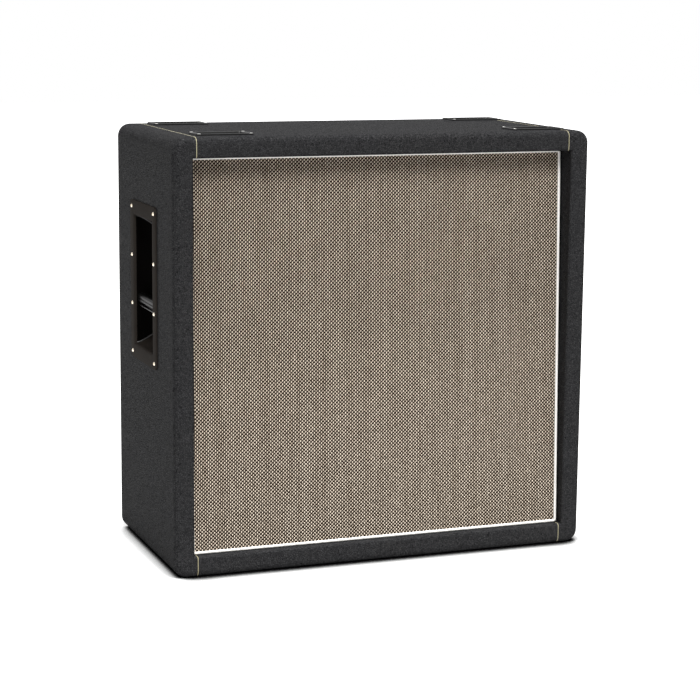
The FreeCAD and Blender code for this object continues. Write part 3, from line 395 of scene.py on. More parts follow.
def woodFinish(name, dark, pale, rings):
    material, tree, shader, place = startMaterial(name)
    grain = useGroup(tree, "wood", place, Rings=rings)
    setShader(tree, shader, BaseColor=blendColours(tree, grain["Tone"], pale, dark),
              Roughness=stretch(tree, grain["Height"], 0.3, 0.7, 0.55, 0.75),
              Normal=bump(tree, grain["Height"], 0.2, 0.1))
    return material


finishes = {
    "black_vinyl": vinylFinish("blackVinyl"),
    "grille_weave": yarnFinish("creamYarn", (0.58, 0.485, 0.38), (0.86, 0.755, 0.62), 900.0, 0.1),
    "spider_cloth": yarnFinish("spiderCloth", (0.30, 0.17, 0.05), (0.42, 0.25, 0.08), 700.0, 0.1),
    "plywood": woodFinish("plywood", (0.38, 0.24, 0.12), (0.62, 0.45, 0.27), 70.0),
    "softwood": woodFinish("softwood", (0.46, 0.29, 0.14), (0.68, 0.5, 0.3), 45.0),
}
metals = {  # colour, paler colour, smoothest and dullest roughness, grains
    "brass_screw": ((0.80, 0.69, 0.54), (0.88, 0.79, 0.66), 0.16, 0.3),
    "nickel_screw": ((0.62, 0.61, 0.58), (0.72, 0.71, 0.68), 0.16, 0.34),
    "nickel_jack": ((0.6, 0.59, 0.56), (0.7, 0.69, 0.66), 0.14, 0.3),
    "zinc_steel": ((0.46, 0.47, 0.48), (0.6, 0.6, 0.6), 0.32, 0.5, 500.0),
    "coil_wire": ((0.55, 0.22, 0.10), (0.66, 0.30, 0.15), 0.25, 0.45, 900.0),
}
moulded = {  # the same, then the bump's strength and depth, then the coat
    "gold_bead": ((0.36, 0.32, 0.19), (0.45, 0.42, 0.28), 0.4, 0.55, 700.0),
    "white_bead": ((0.86, 0.84, 0.80), (0.91, 0.90, 0.87), 0.38, 0.55, 500.0),
    "black_steel": ((0.012, 0.012, 0.012), (0.018, 0.018, 0.018), 0.3, 0.45, 700.0),
    "terminal_board": ((0.09, 0.045, 0.02), (0.13, 0.07, 0.03), 0.4, 0.55, 600.0),
    "lead_sleeve": ((0.012, 0.012, 0.012), (0.02, 0.02, 0.02), 0.5, 0.65, 700.0),
    "cone_paper": ((0.02, 0.02, 0.02), (0.034, 0.033, 0.031), 0.75, 0.9, 350.0, 0.4, 0.3),
    "gasket_board": ((0.10, 0.085, 0.065), (0.15, 0.125, 0.095), 0.8, 0.95, 400.0, 0.4, 0.3),
    "ferrite": ((0.035, 0.035, 0.037), (0.055, 0.055, 0.057), 0.5, 0.7, 300.0, 0.25, 0.2),
    "satin_black_plastic": (
        (0.0185, 0.0152, 0.0128), (0.0225, 0.0188, 0.0158), 0.45, 0.6, 900.0, 0.15, 0.12, 0.1),
    "gloss_black_plastic": ((0.004, 0.004, 0.004), (0.006, 0.006, 0.006), 0.16, 0.3, 600.0, 0.06, 0.08, 0.3),
}
for rows, makeFinish in ((metals, metalFinish), (moulded, mouldedFinish)):
    for slot, row in rows.items():
        first, *others = slot.split("_")
        finishes[slot] = makeFinish(first + "".join(word.title() for word in others), *row)
darkYarn = yarnFinish("darkYarn", (0.010, 0.006, 0.0038), (0.030, 0.0195, 0.0125), 900.0, 0.0)
# painted shade: the deep wall of the handle scoop is far darker than the flange of the same moulding
scoopPaintedShade = mouldedFinish("scoopPaintedShade", (0.0012, 0.001, 0.0009), (0.002, 0.0017, 0.0015), 0.4, 0.6,
                           coat=0.02)
# painted highlight: a paler, glossier finish on the scoop's crease and the bar's rib
paintedHighlightGloss = mouldedFinish("paintedHighlightGloss", (0.012, 0.011, 0.010), (0.016, 0.015, 0.014), 0.2, 0.3,
                            coat=0.6)
for row in frame["record"]["subparts"]:
    solid = frame["nodes"][row["node"]]
    solid.data.materials.clear()
    solid.data.materials.append(finishes[row["material_slot"]])
print("finishes made:", len(finishes) + 3)


# mesh helpers

sharpAngle = 38.0  # degrees; flatter edges are shaded softly


def placeMesh(name, points, faces):
    mesh = bpy.data.meshes.new(name)
    mesh.from_pydata([Vector(point) * mm for point in points], [], faces)
    return addObject(name, mesh)


def loopFaces(loops, closed=True):
    count = len(loops[0])
    faces = []
    for row in range(len(loops) - 1):
        for column in range(count if closed else count - 1):
            following = (column + 1) % count
            faces.append((row * count + column, row * count + following,
                          (row + 1) * count + following, (row + 1) * count + column))
    return faces


def addSkin(points, faces, loops, closed=True):
    start = len(points)
    points += [point for loop in loops for point in loop]
    faces += [tuple(start + k for k in face) for face in loopFaces(loops, closed)]


def skinLoops(name, loops, ends=()):
    # a skin over loops of equal length; the first loop (0) or the last (-1) may be closed by a face
    points, faces = [], []
    addSkin(points, faces, loops)
    count = len(loops[0])
    for end in ends:
        start = end % len(loops) * count
        faces.append(tuple(range(start, start + count)))
    return placeMesh(name, points, faces)


def tidyMesh(item, outward=None, angle=sharpAngle):
    # doubles merged, faces turned outwards, soft shading with real edges kept sharp
    form = bmesh.new()
    form.from_mesh(item.data)
    bmesh.ops.remove_doubles(form, verts=form.verts[:], dist=0.00001)
    bmesh.ops.dissolve_degenerate(form, dist=0.000005, edges=form.edges[:])
    bmesh.ops.recalc_face_normals(form, faces=form.faces[:])
    if outward is not None:
        facing = [(face.normal.dot(Vector(outward)), face.calc_area()) for face in form.faces]
        if sum(share * abs(share) * area for share, area in facing) < 0:
            bmesh.ops.reverse_faces(form, faces=form.faces[:])
    form.to_mesh(item.data)
    form.free()
    item.data.polygons.foreach_set("use_smooth", [True] * len(item.data.polygons))
    item.data.set_sharp_from_angle(angle=math.radians(angle))
    return item


def dress(item, slot, body="cabinet", nodes=(), finish=None):
    item.data.materials.clear()
    item.data.materials.append(finish or finishes[slot])
    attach(item, body)
    if nodes:
        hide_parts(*nodes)
    return item


def plainMesh(item):
    # what the modifiers make becomes the object's own mesh
    bpy.context.view_layer.update()
    made = bpy.data.meshes.new_from_object(item.evaluated_get(bpy.context.evaluated_depsgraph_get()))
    item.modifiers.clear()
    item.data = made
    return item


def thicken(item, thickness):
    wall = item.modifiers.new("wall", "SOLIDIFY")
    wall.thickness = thickness * mm
    wall.offset = -1
    wall.use_even_offset = True
    plainMesh(item)
    item.data.set_sharp_from_angle(angle=math.radians(sharpAngle))  # the cut edges of the sheet too
    return item


def arc(across, along, radius, start, end, steps):
    angles = [math.radians(start + (end - start) * step / steps) for step in range(steps + 1)]
    return [(across + radius * math.cos(angle), along + radius * math.sin(angle)) for angle in angles]


def roundedLoop(halfWidth, low, high, radius, steps, support=0.0):
    # anticlockwise from the right side, with a support point on each side of a corner
    points = []
    for right, top, start in ((1, 1, 0), (-1, 1, 90), (-1, -1, 180), (1, -1, 270)):
        across = right * (halfWidth - radius)
        up = high - radius if top > 0 else low + radius
        bend = arc(across, up, radius, start, start + 90, steps)
        if support:
            before, after = math.radians(start - 90), math.radians(start + 180)
            bend.insert(0, (bend[0][0] + support * math.cos(before), bend[0][1] + support * math.sin(before)))
            bend.append((bend[-1][0] + support * math.cos(after), bend[-1][1] + support * math.sin(after)))
        points += bend
    return points


def onCloth(across, out, up):
    # a point on the leaning baffle: across from the middle, out from the cloth, up from the lower lip
    lean = case["lean"]
    depth = -case["halfDepth"] + case["recess"] - out * math.cos(lean) + up * math.sin(lean)
    return (across, depth, case["lip"] + out * math.sin(lean) + up * math.cos(lean))


# vinyl covering: one profile taken round the case, then parted at the seams

def caseProfile():
    half, edge, lip, lipEdge = case["halfDepth"], case["edge"], case["lip"], case["lipEdge"]
    near, rear = case["support"], case["rearFrame"]
    path = [(rear + 0.7, half - case["rearTurnIn"]), (rear + 0.7, half - 0.8), (rear + 0.1, half - 0.1),
            (rear - 0.8, half), (edge + near, half)]
    path += arc(edge, half - edge, edge, 90, 180, case["edgeSteps"])
    path += [(0, half - edge - near), (0, edge + near - half)]
    path += arc(edge, edge - half, edge, 180, 270, case["edgeSteps"])
    path += [(edge + near, -half), (case["corner"], -half), (lip - lipEdge - near, -half)]
    path += arc(lip - lipEdge, lipEdge - half, lipEdge, 270, 360, case["edgeSteps"] - 2)
    path += [(lip, lipEdge + near - half)]
    return path


def caseShell():
    loops = []
    for inset, depth in caseProfile():
        radius = max(case["corner"] - inset, 0.0)
        loop = roundedLoop(case["halfWidth"] - inset, inset, case["height"] - inset, radius,
                           case["cornerSteps"], case["support"])
        loops.append([(x, depth, z) for x, z in loop])
    slope = math.tan(case["lean"])
    reach = case["recess"] + case["turnIn"] - case["halfDepth"]
    loops.append([(x, reach + (z - case["lip"]) * slope, z) for x, _, z in loops[-1]])
    draft = skinLoops("shellDraft", loops)
    form = bmesh.new()
    form.from_mesh(draft.data)
    bpy.data.meshes.remove(draft.data)
    bmesh.ops.remove_doubles(form, verts=form.verts[:], dist=0.00001)
    return form


def cutPlane(form, place, direction, keepBelow):
    bmesh.ops.bisect_plane(
        form, geom=form.verts[:] + form.edges[:] + form.faces[:], dist=0.000001,
        plane_co=Vector(place) * mm, plane_no=Vector(direction), clear_outer=keepBelow,
    )


def cutWindow(form, centre, half):
    # an opening in a flat wall: the faces round its centre go; the thinnest way is across the wall
    low, high = [[middle + sign * reach for middle, reach in zip(centre, half)] for sign in (-1, 1)]
    for axis in range(3):
        if half[axis] > windows["reach"]:
            direction = [float(k == axis) for k in range(3)]
            cutPlane(form, low, direction, False)
            cutPlane(form, high, direction, False)
    inside = [face for face in form.faces
              if all(low[k] * mm < face.calc_center_median()[k] < high[k] * mm for k in range(3))]
    bmesh.ops.delete(form, geom=inside, context="FACES")


windows = {
    "reach": 5.0,
    "handle": {"y": 1.0, "z": 486.0, "halfWidth": 65.5, "halfHeight": 120.5},
    "castor": {"left": -282.0, "right": 302.0, "front": -124.0, "back": 144.0,
               "halfWidth": 40.6, "halfLength": 17.6},
    "socket": {"across": 288.0, "along": 118.0, "halfWidth": 29.3, "halfLength": 17.3, "screws": 21.0},
}
faceOut = {"left": (-1, 0, 0), "right": (1, 0, 0), "top": (0, 0, 1), "bottom": (0, 0, -1)}


def windowPlaces(side):
    # centre and half size of each opening in a side
    grip, cup, seat, reach = windows["handle"], windows["castor"], windows["socket"], windows["reach"]
    if side in ("left", "right"):
        centre = (faceOut[side][0] * case["halfWidth"], grip["y"], grip["z"])
        return [(centre, (reach, grip["halfWidth"], grip["halfHeight"]))]
    if side == "top":
        rows = (cup["front"], cup["back"])
        places = [(x, y, case["height"]) for x in (cup["left"], cup["right"]) for y in rows]
        return [(place, (cup["halfWidth"], cup["halfLength"], reach)) for place in places]
    places = [(x * seat["across"], y * seat["along"], 0) for x in (-1, 1) for y in (-1, 1)]
    return [(place, (seat["halfWidth"], seat["halfLength"], reach)) for place in places]


def coverCase():
    shell = caseShell()
    edge = case["seam"] - case["seamWidth"] / 2
    outer = case["seam"] + case["seamWidth"] / 2
    middle = case["height"] / 2
    between = [((edge, 0, 0), (1, 0, 0)), ((-edge, 0, 0), (-1, 0, 0))]
    cuts = {
        "left": [((-outer, 0, 0), (1, 0, 0))], "right": [((outer, 0, 0), (-1, 0, 0))],
        "top": between + [((0, 0, middle), (0, 0, -1))], "bottom": between + [((0, 0, middle), (0, 0, 1))],
    }
    for side, planes in cuts.items():
        form = shell.copy()
        for place, direction in planes:
            cutPlane(form, place, direction, True)
        for centre, half in windowPlaces(side):
            cutWindow(form, centre, half)
        item = placeMesh(side + "Vinyl", [], [])
        form.to_mesh(item.data)
        form.free()
        tidyMesh(item, faceOut[side])
        thicken(item, case["skin"])
        dress(item, "black_vinyl", nodes=[side + "_covering"])
    shell.free()


coverCase()
print("covering parted at the seams")


# beads that follow a path: the gold seam bead and the white piping

def geometryTree(name, inputs):
    shape = ("Geometry", "Geometry")
    rows = [(*shape, None)] + inputs + [("Finish", "Material", None)]
    return newTree("GeometryNodeTree", name, rows, [shape])


def paintOut(tree, given, out, source, *steps):
    # geometry passes through each step, takes the finish and leaves the tree
    paint = addNode(tree, "GeometryNodeSetMaterial", {"Material": given["Finish"]})
    for item in (*steps, paint):
        tree.links.new(source, item.inputs[0])
        source = item.outputs[0]
    return putOut(tree, out, Geometry=source)


def runTree(item, tree, **values):
    step = item.modifiers.new(tree.name, "NODES")
    step.node_group = tree
    sockets = {socket.name: socket.identifier for socket in tree.interface.items_tree
               if socket.item_type == "SOCKET" and socket.in_out == "INPUT"}
    for label, value in values.items():
        step[sockets[label]] = value
    return plainMesh(item)


def beadTree():
    tree, given, out = geometryTree("beadAlongPath", [("Radius", "Float", 0.001), ("Sides", "Int", 12)])
    path = tree.nodes.new("GeometryNodeMeshToCurve")
    feeds = {"Radius": given["Radius"], "Resolution": given["Sides"]}
    ring = addNode(tree, "GeometryNodeCurvePrimitiveCircle", feeds).outputs["Curve"]
    sweep = addNode(tree, "GeometryNodeCurveToMesh", {"Profile Curve": ring, "Fill Caps": True})
    smooth = tree.nodes.new("GeometryNodeSetShadeSmooth")
    solid = tree.nodes.new("GeometryNodeRealizeInstances")
    return paintOut(tree, given, out, given["Geometry"], path, sweep, smooth, solid)


def pathObject(name, lines):
    # lines of points; the first point comes again at the end of a closed line
    mesh = bpy.data.meshes.new(name)
    points, edges = [], []
    for line in lines:
        start = len(points)
        closed = line[0] == line[-1]
        points += line[:-1] if closed else line
        count = len(points) - start
        edges += [(start + k, start + k + 1) for k in range(count - 1)]
        if closed:
            edges.append((start + count - 1, start))
    mesh.from_pydata([Vector(point) * mm for point in points], edges, [])
    return addObject(name, mesh)


bead = {
    "radius": 0.7, "sink": 0.55, "sides": 10, "turnIn": 5.2, "sharp": 60,
    "pipingRadius": 2.5, "pipingBend": 3.2, "pipingSides": 16, "pipingSteps": 8, "pipingSupport": 1.0,
    "pipingLeft": -348.0, "pipingRight": 344.1, "pipingLow": 2.9, "pipingTop": 2.7,
}


def seamLines():
    # the profile of the case, sunk a little below the covering
    path = caseProfile()[3:]
    sunk = []
    for k, (inset, depth) in enumerate(path):
        before, after = path[max(k - 1, 0)], path[min(k + 1, len(path) - 1)]
        along = Vector((after[0] - before[0], after[1] - before[1])).normalized()
        sunk.append((inset - along.y * bead["sink"], depth + along.x * bead["sink"]))
    lines = []
    for side in (-1, 1):
        for top in (False, True):
            line = [(side * case["seam"], depth, case["height"] - inset if top else inset)
                    for inset, depth in sunk]
            inner = onCloth(0, bead["turnIn"], mouthHeight if top else 0)[1]
            lines.append(line + [(side * case["seam"], inner, line[-1][2])])
    return lines


def addBeads():
    left, right, radius = bead["pipingLeft"], bead["pipingRight"], bead["pipingRadius"]
    loop = roundedLoop((right - left) / 2, bead["pipingLow"], clothHeight - bead["pipingTop"],
                       bead["pipingBend"], bead["pipingSteps"], bead["pipingSupport"])
    line = [onCloth((right + left) / 2 + x, radius, up) for x, up in loop]
    nodes = beadTree()
    for name, lines, thick, sides, slot, node in (
        ("seamBead", seamLines(), bead["radius"], bead["sides"], "gold_bead", "seam_piping"),
        ("whitePiping", [line + line[:1]], radius, bead["pipingSides"], "white_bead", "grille_piping"),
    ):
        item = pathObject(name, lines)
        runTree(item, nodes, Radius=thick * mm, Sides=sides, Finish=finishes[slot])
        dress(tidyMesh(item, angle=bead["sharp"]), slot, nodes=[node])


addBeads()
print("seam bead and piping laid")


# grille cloth: dark weft ridges on a thin ground, cream warp floats over every second crossing

weave = {
    "columns": 214, "rows": 211, "pitchAcross": 3.23, "pitchUp": 3.2, "low": 2.134, "high": 682.88,
    "halfWidth": 348.0, "corner": 2.0, "ground": 0.5, "bands": 4,
    "floatWidth": 2.7, "floatLength": 4.3, "floatHeight": 0.95, "floatFoot": 0.15, "crownWidth": 0.62,
    "crownLength": 0.6, "turn": math.radians(-9), "wobble": 0.05, "floatSeed": 3,
    "ridgeWidth": 2.9, "ridgeHeight": 0.5, "ridgeFoot": 0.2, "ridgeAngles": (0, 35, 70, 110, 145, 180),
    "ridgeSeed": 11,
}


def floatTree():
    # repeats the object's own mesh on a grid of crossings that leans with the baffle
    tree, given, out = geometryTree("repeatOverCloth", [
        ("Columns", "Int", 2), ("Rows", "Int", 2), ("Across", "Float", 0.003), ("Up", "Float", 0.003),
        ("Every", "Int", 2), ("Offset", "Int", 0), ("Wobble", "Float", 0.05), ("Turn", "Float", 0.0),
        ("Lean", "Float", 0.0), ("Place", "Vector", None), ("Seed", "Int", 3)])

    def work(operation, *sources):
        return calc(tree, operation, *sources)

    def chance(low, high, seed, **identity):
        feeds = {2: low, 3: high, "Seed": work("ADD", given["Seed"], float(seed)), **identity}
        return addNode(tree, "FunctionNodeRandomValue", feeds, data_type="FLOAT").outputs[1]

    position = tree.nodes.new("GeometryNodeInputPosition").outputs[0]
    split = addNode(tree, "ShaderNodeSeparateXYZ", {0: position}).outputs
    size, number = {}, {}
    for letter, count, pitch in (("X", "Columns", "Across"), ("Y", "Rows", "Up")):
        width = work("MULTIPLY", work("SUBTRACT", given[count], 1.0), given[pitch])
        size["Size " + letter] = width
        size["Vertices " + letter] = given[count]
        shifted = work("ADD", split[letter], work("MULTIPLY", width, 0.5))
        number[letter] = work("ROUND", work("DIVIDE", shifted, given[pitch]))
    grid = addNode(tree, "GeometryNodeMeshGrid", size)
    both = work("ADD", work("ADD", number["X"], number["Y"]), given["Offset"])
    skipped = work("GREATER_THAN", work("MODULO", both, given["Every"]), 0.5)
    thread = work("MULTIPLY", chance(0.0, 1.0, 1, ID=number["X"]), 0.6)
    tone = work("ADD", thread, work("MULTIPLY", chance(0.0, 1.0, 2), 0.4))
    shade = addNode(tree, "GeometryNodeStoreNamedAttribute", {"Name": "threadShade", "Value": tone},
                    data_type="FLOAT", domain="POINT")
    gone = addNode(tree, "GeometryNodeDeleteGeometry", {"Selection": skipped}, domain="POINT", mode="ALL")
    sway = work("ADD", work("MULTIPLY", chance(-1.0, 1.0, 4), given["Wobble"]), given["Turn"])
    swell = work("ADD", work("MULTIPLY", chance(-1.0, 1.0, 5), given["Wobble"]), 1.0)
    place = addNode(tree, "GeometryNodeInstanceOnPoints", {
        "Instance": given["Geometry"], "Rotation": joinVector(tree, Z=sway),
        "Scale": joinVector(tree, X=swell, Y=swell, Z=swell)})
    solid = tree.nodes.new("GeometryNodeRealizeInstances")
    tilt = joinVector(tree, X=given["Lean"])
    move = addNode(tree, "GeometryNodeTransform", {"Rotation": tilt, "Translation": given["Place"]})
    return paintOut(tree, given, out, grid.outputs[0], shade, gone, place, solid, move)


def ellipse(width, length, height, count):
    angles = [2 * math.pi * (k + 0.5) / count for k in range(count)]
    return [(math.cos(angle) * width, math.sin(angle) * length, height) for angle in angles]


def floatGrain(name):
    # one float of warp: a closed grain with a flat foot of eight points and a crown of four
    width, length = weave["floatWidth"] / 2, weave["floatLength"] / 2
    foot = ellipse(width, length, -weave["floatFoot"], 8)
    crown = ellipse(width * weave["crownWidth"], length * weave["crownLength"], weave["floatHeight"], 4)
    faces = [tuple(reversed(range(8))), (8, 9, 10, 11)]
    for k in range(4):
        one, two, three = 2 * k, 2 * k + 1, (2 * k + 2) % 8
        faces.append((one, two, 8 + k))
        faces.append((two, three, 8 + (k + 1) % 4, 8 + k))
    return tidyMesh(placeMesh(name, foot + crown, faces), angle=80)


def weftRidge(name):
    # one weft thread: a low half-round bar across the whole cloth
    half, foot = weave["ridgeWidth"] / 2, -weave["ridgeFoot"]
    reach = weave["columns"] * weave["pitchAcross"] / 2
    angles = [math.radians(angle) for angle in weave["ridgeAngles"]]
    section = [(half * math.cos(angle), weave["ridgeHeight"] * math.sin(angle)) for angle in angles]
    section += [(-half, foot), (half, foot)]
    loops = [[(x, y, z) for y, z in section] for x in (-reach, reach)]
    return tidyMesh(skinLoops(name, loops, (0, -1)), angle=75)


def addCloth():
    nodes = floatTree()
    low, high, rows = weave["low"], weave["high"], weave["rows"]
    middle = (low + high) / 2

    def spread(item, finish, centre, **values):
        runTree(item, nodes, Across=weave["pitchAcross"] * mm, Up=weave["pitchUp"] * mm,
                Lean=math.pi / 2 - case["lean"], Place=Vector(onCloth(0, 0, centre)) * mm,
                Finish=finish, **values)
        return dress(item, "grille_weave", finish=finish)

    corners = roundedLoop(weave["halfWidth"], low, high, weave["corner"], 3)
    faces = [[onCloth(x, out, up) for x, up in corners] for out in (0, -weave["ground"])]
    ground = tidyMesh(skinLoops("grilleGround", faces, (0, -1)))
    dress(ground, "grille_weave", nodes=["grille_cloth"], finish=darkYarn)
    parts = [spread(weftRidge("weftRows"), darkYarn, middle, Columns=1, Rows=rows, Every=1, Wobble=0.0,
                    Seed=weave["ridgeSeed"])]
    first = 0
    for band in range(1, weave["bands"] + 1):
        last = round(rows * band / weave["bands"])
        centre = middle + (first + last - rows) / 2 * weave["pitchUp"]
        parts.append(spread(
            floatGrain(f"warpFloats{band}"), finishes["grille_weave"], centre, Columns=weave["columns"],
            Rows=last - first, Every=2, Offset=first % 2, Wobble=weave["wobble"], Turn=weave["turn"],
            Seed=weave["floatSeed"]))
        first = last


addCloth()
print("grille cloth woven")


# handles: moulded scoop with a screwed flange, and the bar across it

# black is the depth from which the scoop's wall takes its painted shade
handle = {
    "halfWidth": 84.0, "halfHeight": 142.0, "thick": 2.6, "corner": 10.0, "edge": 1.2,
    "neck": 59.5, "neckHalf": 115.2, "roll": 4.5, "rise": 46.0, "crease": 2.5, "levels": 12, "turns": 28,
    "wall": 1.0, "same": 0.02, "black": -4.6, "barDrop": 36.0, "barInset": 12.0, "barStations": 13,
    "barFit": 0.2, "ribTop": -8.9,
    "barSection": ((7.75, 5.0), (7.3, 7.4), (6.0, 9.4), (4.0, 10.6), (1.8, 11.0), (-2.0, 11.0), (-5.0, 10.4),
                   (-7.0, 8.6), (-7.75, 6.0), (-7.75, -7.5), (-7.2, -9.8), (-5.5, -11.0), (5.8, -11.0),
                   (6.7, -10.7), (7.0, -10.0), (6.7, -9.3), (5.8, -9.0), (3.0, -8.7), (1.8, -7.8),
                   (1.5, -6.4), (2.0, -5.0), (3.4, -4.4), (6.0, -4.2), (7.2, -3.6), (7.75, -2.2),
                   (7.75, 0.7), (7.3, 1.2), (6.7, 1.6), (6.7, 2.4), (7.3, 2.8), (7.75, 3.3)),
}
handleY, handleZ = windows["handle"]["y"], windows["handle"]["z"]
mouthOut = handle["thick"] - handle["roll"]  # where the scoop leaves the rolled edge of the flange


def onSide(side, along, up, out):
    return (side * (case["halfWidth"] + out), handleY + along, handleZ + up)


def scoopEnd(sine):
    # half the height of the scoop at a depth, given as a share of its radius
    return handle["neckHalf"] - handle["rise"] * sine ** 1.5


def scoopRing(share, drop, tuck):
    # one ring round the scoop: drop is the way from its end, tuck the way in from the wall
    neck, turns = handle["neck"], handle["turns"]
    ring = []
    for k in range(turns + 1):
        angle = math.pi * k / turns
        end = scoopEnd(math.sin(angle)) - drop
        ring.append(((neck - tuck) * math.cos(angle), share * end, mouthOut - neck * math.sin(angle)))
    return ring


def scoopRings():
    crease = handle["crease"]
    bend = [(0.0, crease), (0.06 * crease, 0.56 * crease), (0.25 * crease, 0.25 * crease),
            (0.56 * crease, 0.06 * crease), (crease, 0.0)]
    upper = [scoopRing(1, drop, tuck) for drop, tuck in bend]
    lower = [scoopRing(-1, drop, tuck) for drop, tuck in reversed(bend)]
    middle = [scoopRing(1 - 2 * k / handle["levels"], crease, 0.0) for k in range(1, handle["levels"])]
    return upper + middle + lower


def offsetLoop(points, distance):
    moved = []
    count = len(points)
    for k in range(count):
        before, after = Vector(points[k - 1]), Vector(points[(k + 1) % count])
        along = (after - before).normalized()
        moved.append((points[k][0] + along.y * distance, points[k][1] - along.x * distance))
    return moved


def handleCup(name, side, node):
    rings = scoopRings()
    turns = handle["turns"]
    edge, thick, roll = handle["edge"], handle["thick"], handle["roll"]
    points, faces = [], []
    addSkin(points, faces, [[onSide(side, *point) for point in ring] for ring in rings], closed=False)
    for start in (0, (len(rings) - 1) * (turns + 1)):  # the sloping ends
        faces += [(start + k, start + k + 1, start + turns - k - 1, start + turns - k)
                  for k in range(turns // 2 - 1)]
        faces.append((start + turns // 2 - 1, start + turns // 2, start + turns // 2 + 1))
    mouth = [ring[-1][:2] for ring in rings] + [ring[0][:2] for ring in reversed(rings)]
    inner = []
    for step in range(6):
        angle = math.radians(18 * step)
        loop = offsetLoop(mouth, roll * (1 - math.cos(angle))) if step else mouth
        inner.append([onSide(side, along, up, mouthOut + roll * math.sin(angle)) for along, up in loop])
    addSkin(points, faces, inner)
    outer = []
    for inset, out in ((edge, thick), (0.3 * edge, thick - 0.3 * edge), (0.0, thick - edge), (0.0, 0.1)):
        loop = roundedLoop(handle["halfWidth"] - inset, inset - handle["halfHeight"],
                           handle["halfHeight"] - inset, handle["corner"] - inset, 8)
        outer.append([onSide(side, along, up, out) for along, up in loop])
    addSkin(points, faces, outer)
    item = placeMesh(name, points, faces)
    form = bmesh.new()
    form.from_mesh(item.data)
    level = (case["halfWidth"] + thick) * mm
    near = handle["same"] * mm
    rims = [rim for rim in form.edges
            if rim.is_boundary and all(abs(abs(end.co.x) - level) < near for end in rim.verts)]
    bmesh.ops.bridge_loops(form, edges=rims)
    form.to_mesh(item.data)
    form.free()
    tidyMesh(item, (side, 0, 0))
    thicken(item, handle["wall"])
    dress(item, "satin_black_plastic", nodes=[node])
    # the wall takes the painted shade, the crease the painted highlight
    item.data.materials.append(scoopPaintedShade)
    item.data.materials.append(paintedHighlightGloss)
    for face in item.data.polygons:
        face.material_index = scoopPart(face.center / mm)


def scoopPart(point):
    # 0 for the flange and the sloping ends, 1 for the wall, which takes a painted shade, 2 for the crease
    # between wall and end, which takes a painted highlight
    out = abs(point.x) - case["halfWidth"]
    if out > handle["black"]:
        return 0
    neck, crease = handle["neck"], handle["crease"]
    sine = min((mouthOut - out) / neck, 1.0)
    near = abs(point.z - handleZ) > scoopEnd(sine) - crease
    inside = abs(point.y - handleY) < neck * math.sqrt(1 - sine ** 2) - crease
    return 0 if near and inside else 2 if near else 1


def handleBar(name, side, node):
    # bar with a shallow groove on its face and a thin rib below a deep one
    loops = []
    count = handle["barStations"]
    section = [(across - handle["barInset"], up - handle["barDrop"]) for across, up in handle["barSection"]]
    for k in range(count):
        share = 2 * k / (count - 1) - 1
        loop = []
        for out, up in section:
            reach = math.sqrt((handle["neck"] - handle["barFit"]) ** 2 - (mouthOut - out) ** 2)
            loop.append(onSide(side, share * reach, up, out))
        loops.append(loop)
    item = tidyMesh(skinLoops(name, loops, (0, -1)), None, 50)
    dress(item, "gloss_black_plastic", nodes=[node])
    # the rib takes the painted highlight
    item.data.materials.append(paintedHighlightGloss)
    ribTop = handleZ - handle["barDrop"] + handle["ribTop"]
    for face in item.data.polygons:
        face.material_index = 1 if face.center.z / mm < ribTop else 0


for side, label in ((-1, "left"), (1, "right")):
    handleCup(label + "HandleScoop", side, label + "_handle_cup")
    handleBar(label + "HandleBar", side, label + "_handle_grip")
print("handles moulded")


# castor cups on the top

dish = {
    "halfWidth": 51.0, "halfLength": 28.0, "corner": 7.0, "leastCorner": 3.0, "steps": 8,
    "support": 0.6, "wall": 0.9,
    "profile": ((0.0, 0.05), (0.0, 1.6), (0.25, 2.2), (0.8, 2.52), (1.5, 2.6), (8.6, 2.6), (9.8, 2.45),
                (10.6, 1.9), (11.1, 1.0), (12.2, -3.6), (12.6, -4.5), (13.4, -5.3), (14.6, -5.75)),
}


def castorCup(name, across, along, node):
    loops = []
    for inset, up in dish["profile"]:
        corner = max(dish["corner"] - inset, dish["leastCorner"])
        loop = roundedLoop(dish["halfWidth"] - inset, inset - dish["halfLength"], dish["halfLength"] - inset,
                           corner, dish["steps"], dish["support"])
        loops.append([(across + x, along + y, case["height"] + up) for x, y in loop])
    item = tidyMesh(skinLoops(name, loops, [-1]), (0, 0, 1))
    thicken(item, dish["wall"])
    dress(item, "gloss_black_plastic", nodes=[node])


for sideName in ("left", "right"):
    for endName in ("front", "back"):
        castorCup(f"{endName}{sideName.title()}CastorCup", windows["castor"][sideName],
                  windows["castor"][endName], f"castor_cup_{endName}_{sideName}")
print("castor cups moulded")


# back panel in its own vinyl

backPanel = {
    "halfWidth": 364.5, "low": 20.5, "high": 734.5, "face": 181.5, "inner": 165.6, "edge": 2.2, "corner": 3.0,
    "leastCorner": 0.5, "steps": 6, "support": 1.0, "rim": 1.5,
}


def coverBack():
    edge, face, steps = backPanel["edge"], backPanel["face"], backPanel["steps"]
    path = [(0.0, backPanel["inner"]), (0.0, face - edge - backPanel["support"])]
    path += arc(edge, face - edge, edge, 180, 90, steps) + [(edge + backPanel["rim"], face)]
    loops = []
    for inset, depth in path:
        corner = max(backPanel["corner"] - inset, backPanel["leastCorner"])
        loop = roundedLoop(backPanel["halfWidth"] - inset, backPanel["low"] + inset,
                           backPanel["high"] - inset, corner, steps, backPanel["support"])
        loops.append([(x, depth, z) for x, z in loop])
    item = tidyMesh(skinLoops("backVinyl", loops, [-1]), (0, 1, 0))
    thicken(item, case["skin"])
    dress(item, "black_vinyl", nodes=["back_covering"])


coverBack()
print("back panel covered")


# soft pieces of the drivers: the cone edges and spiders between the fixed basket and the cone

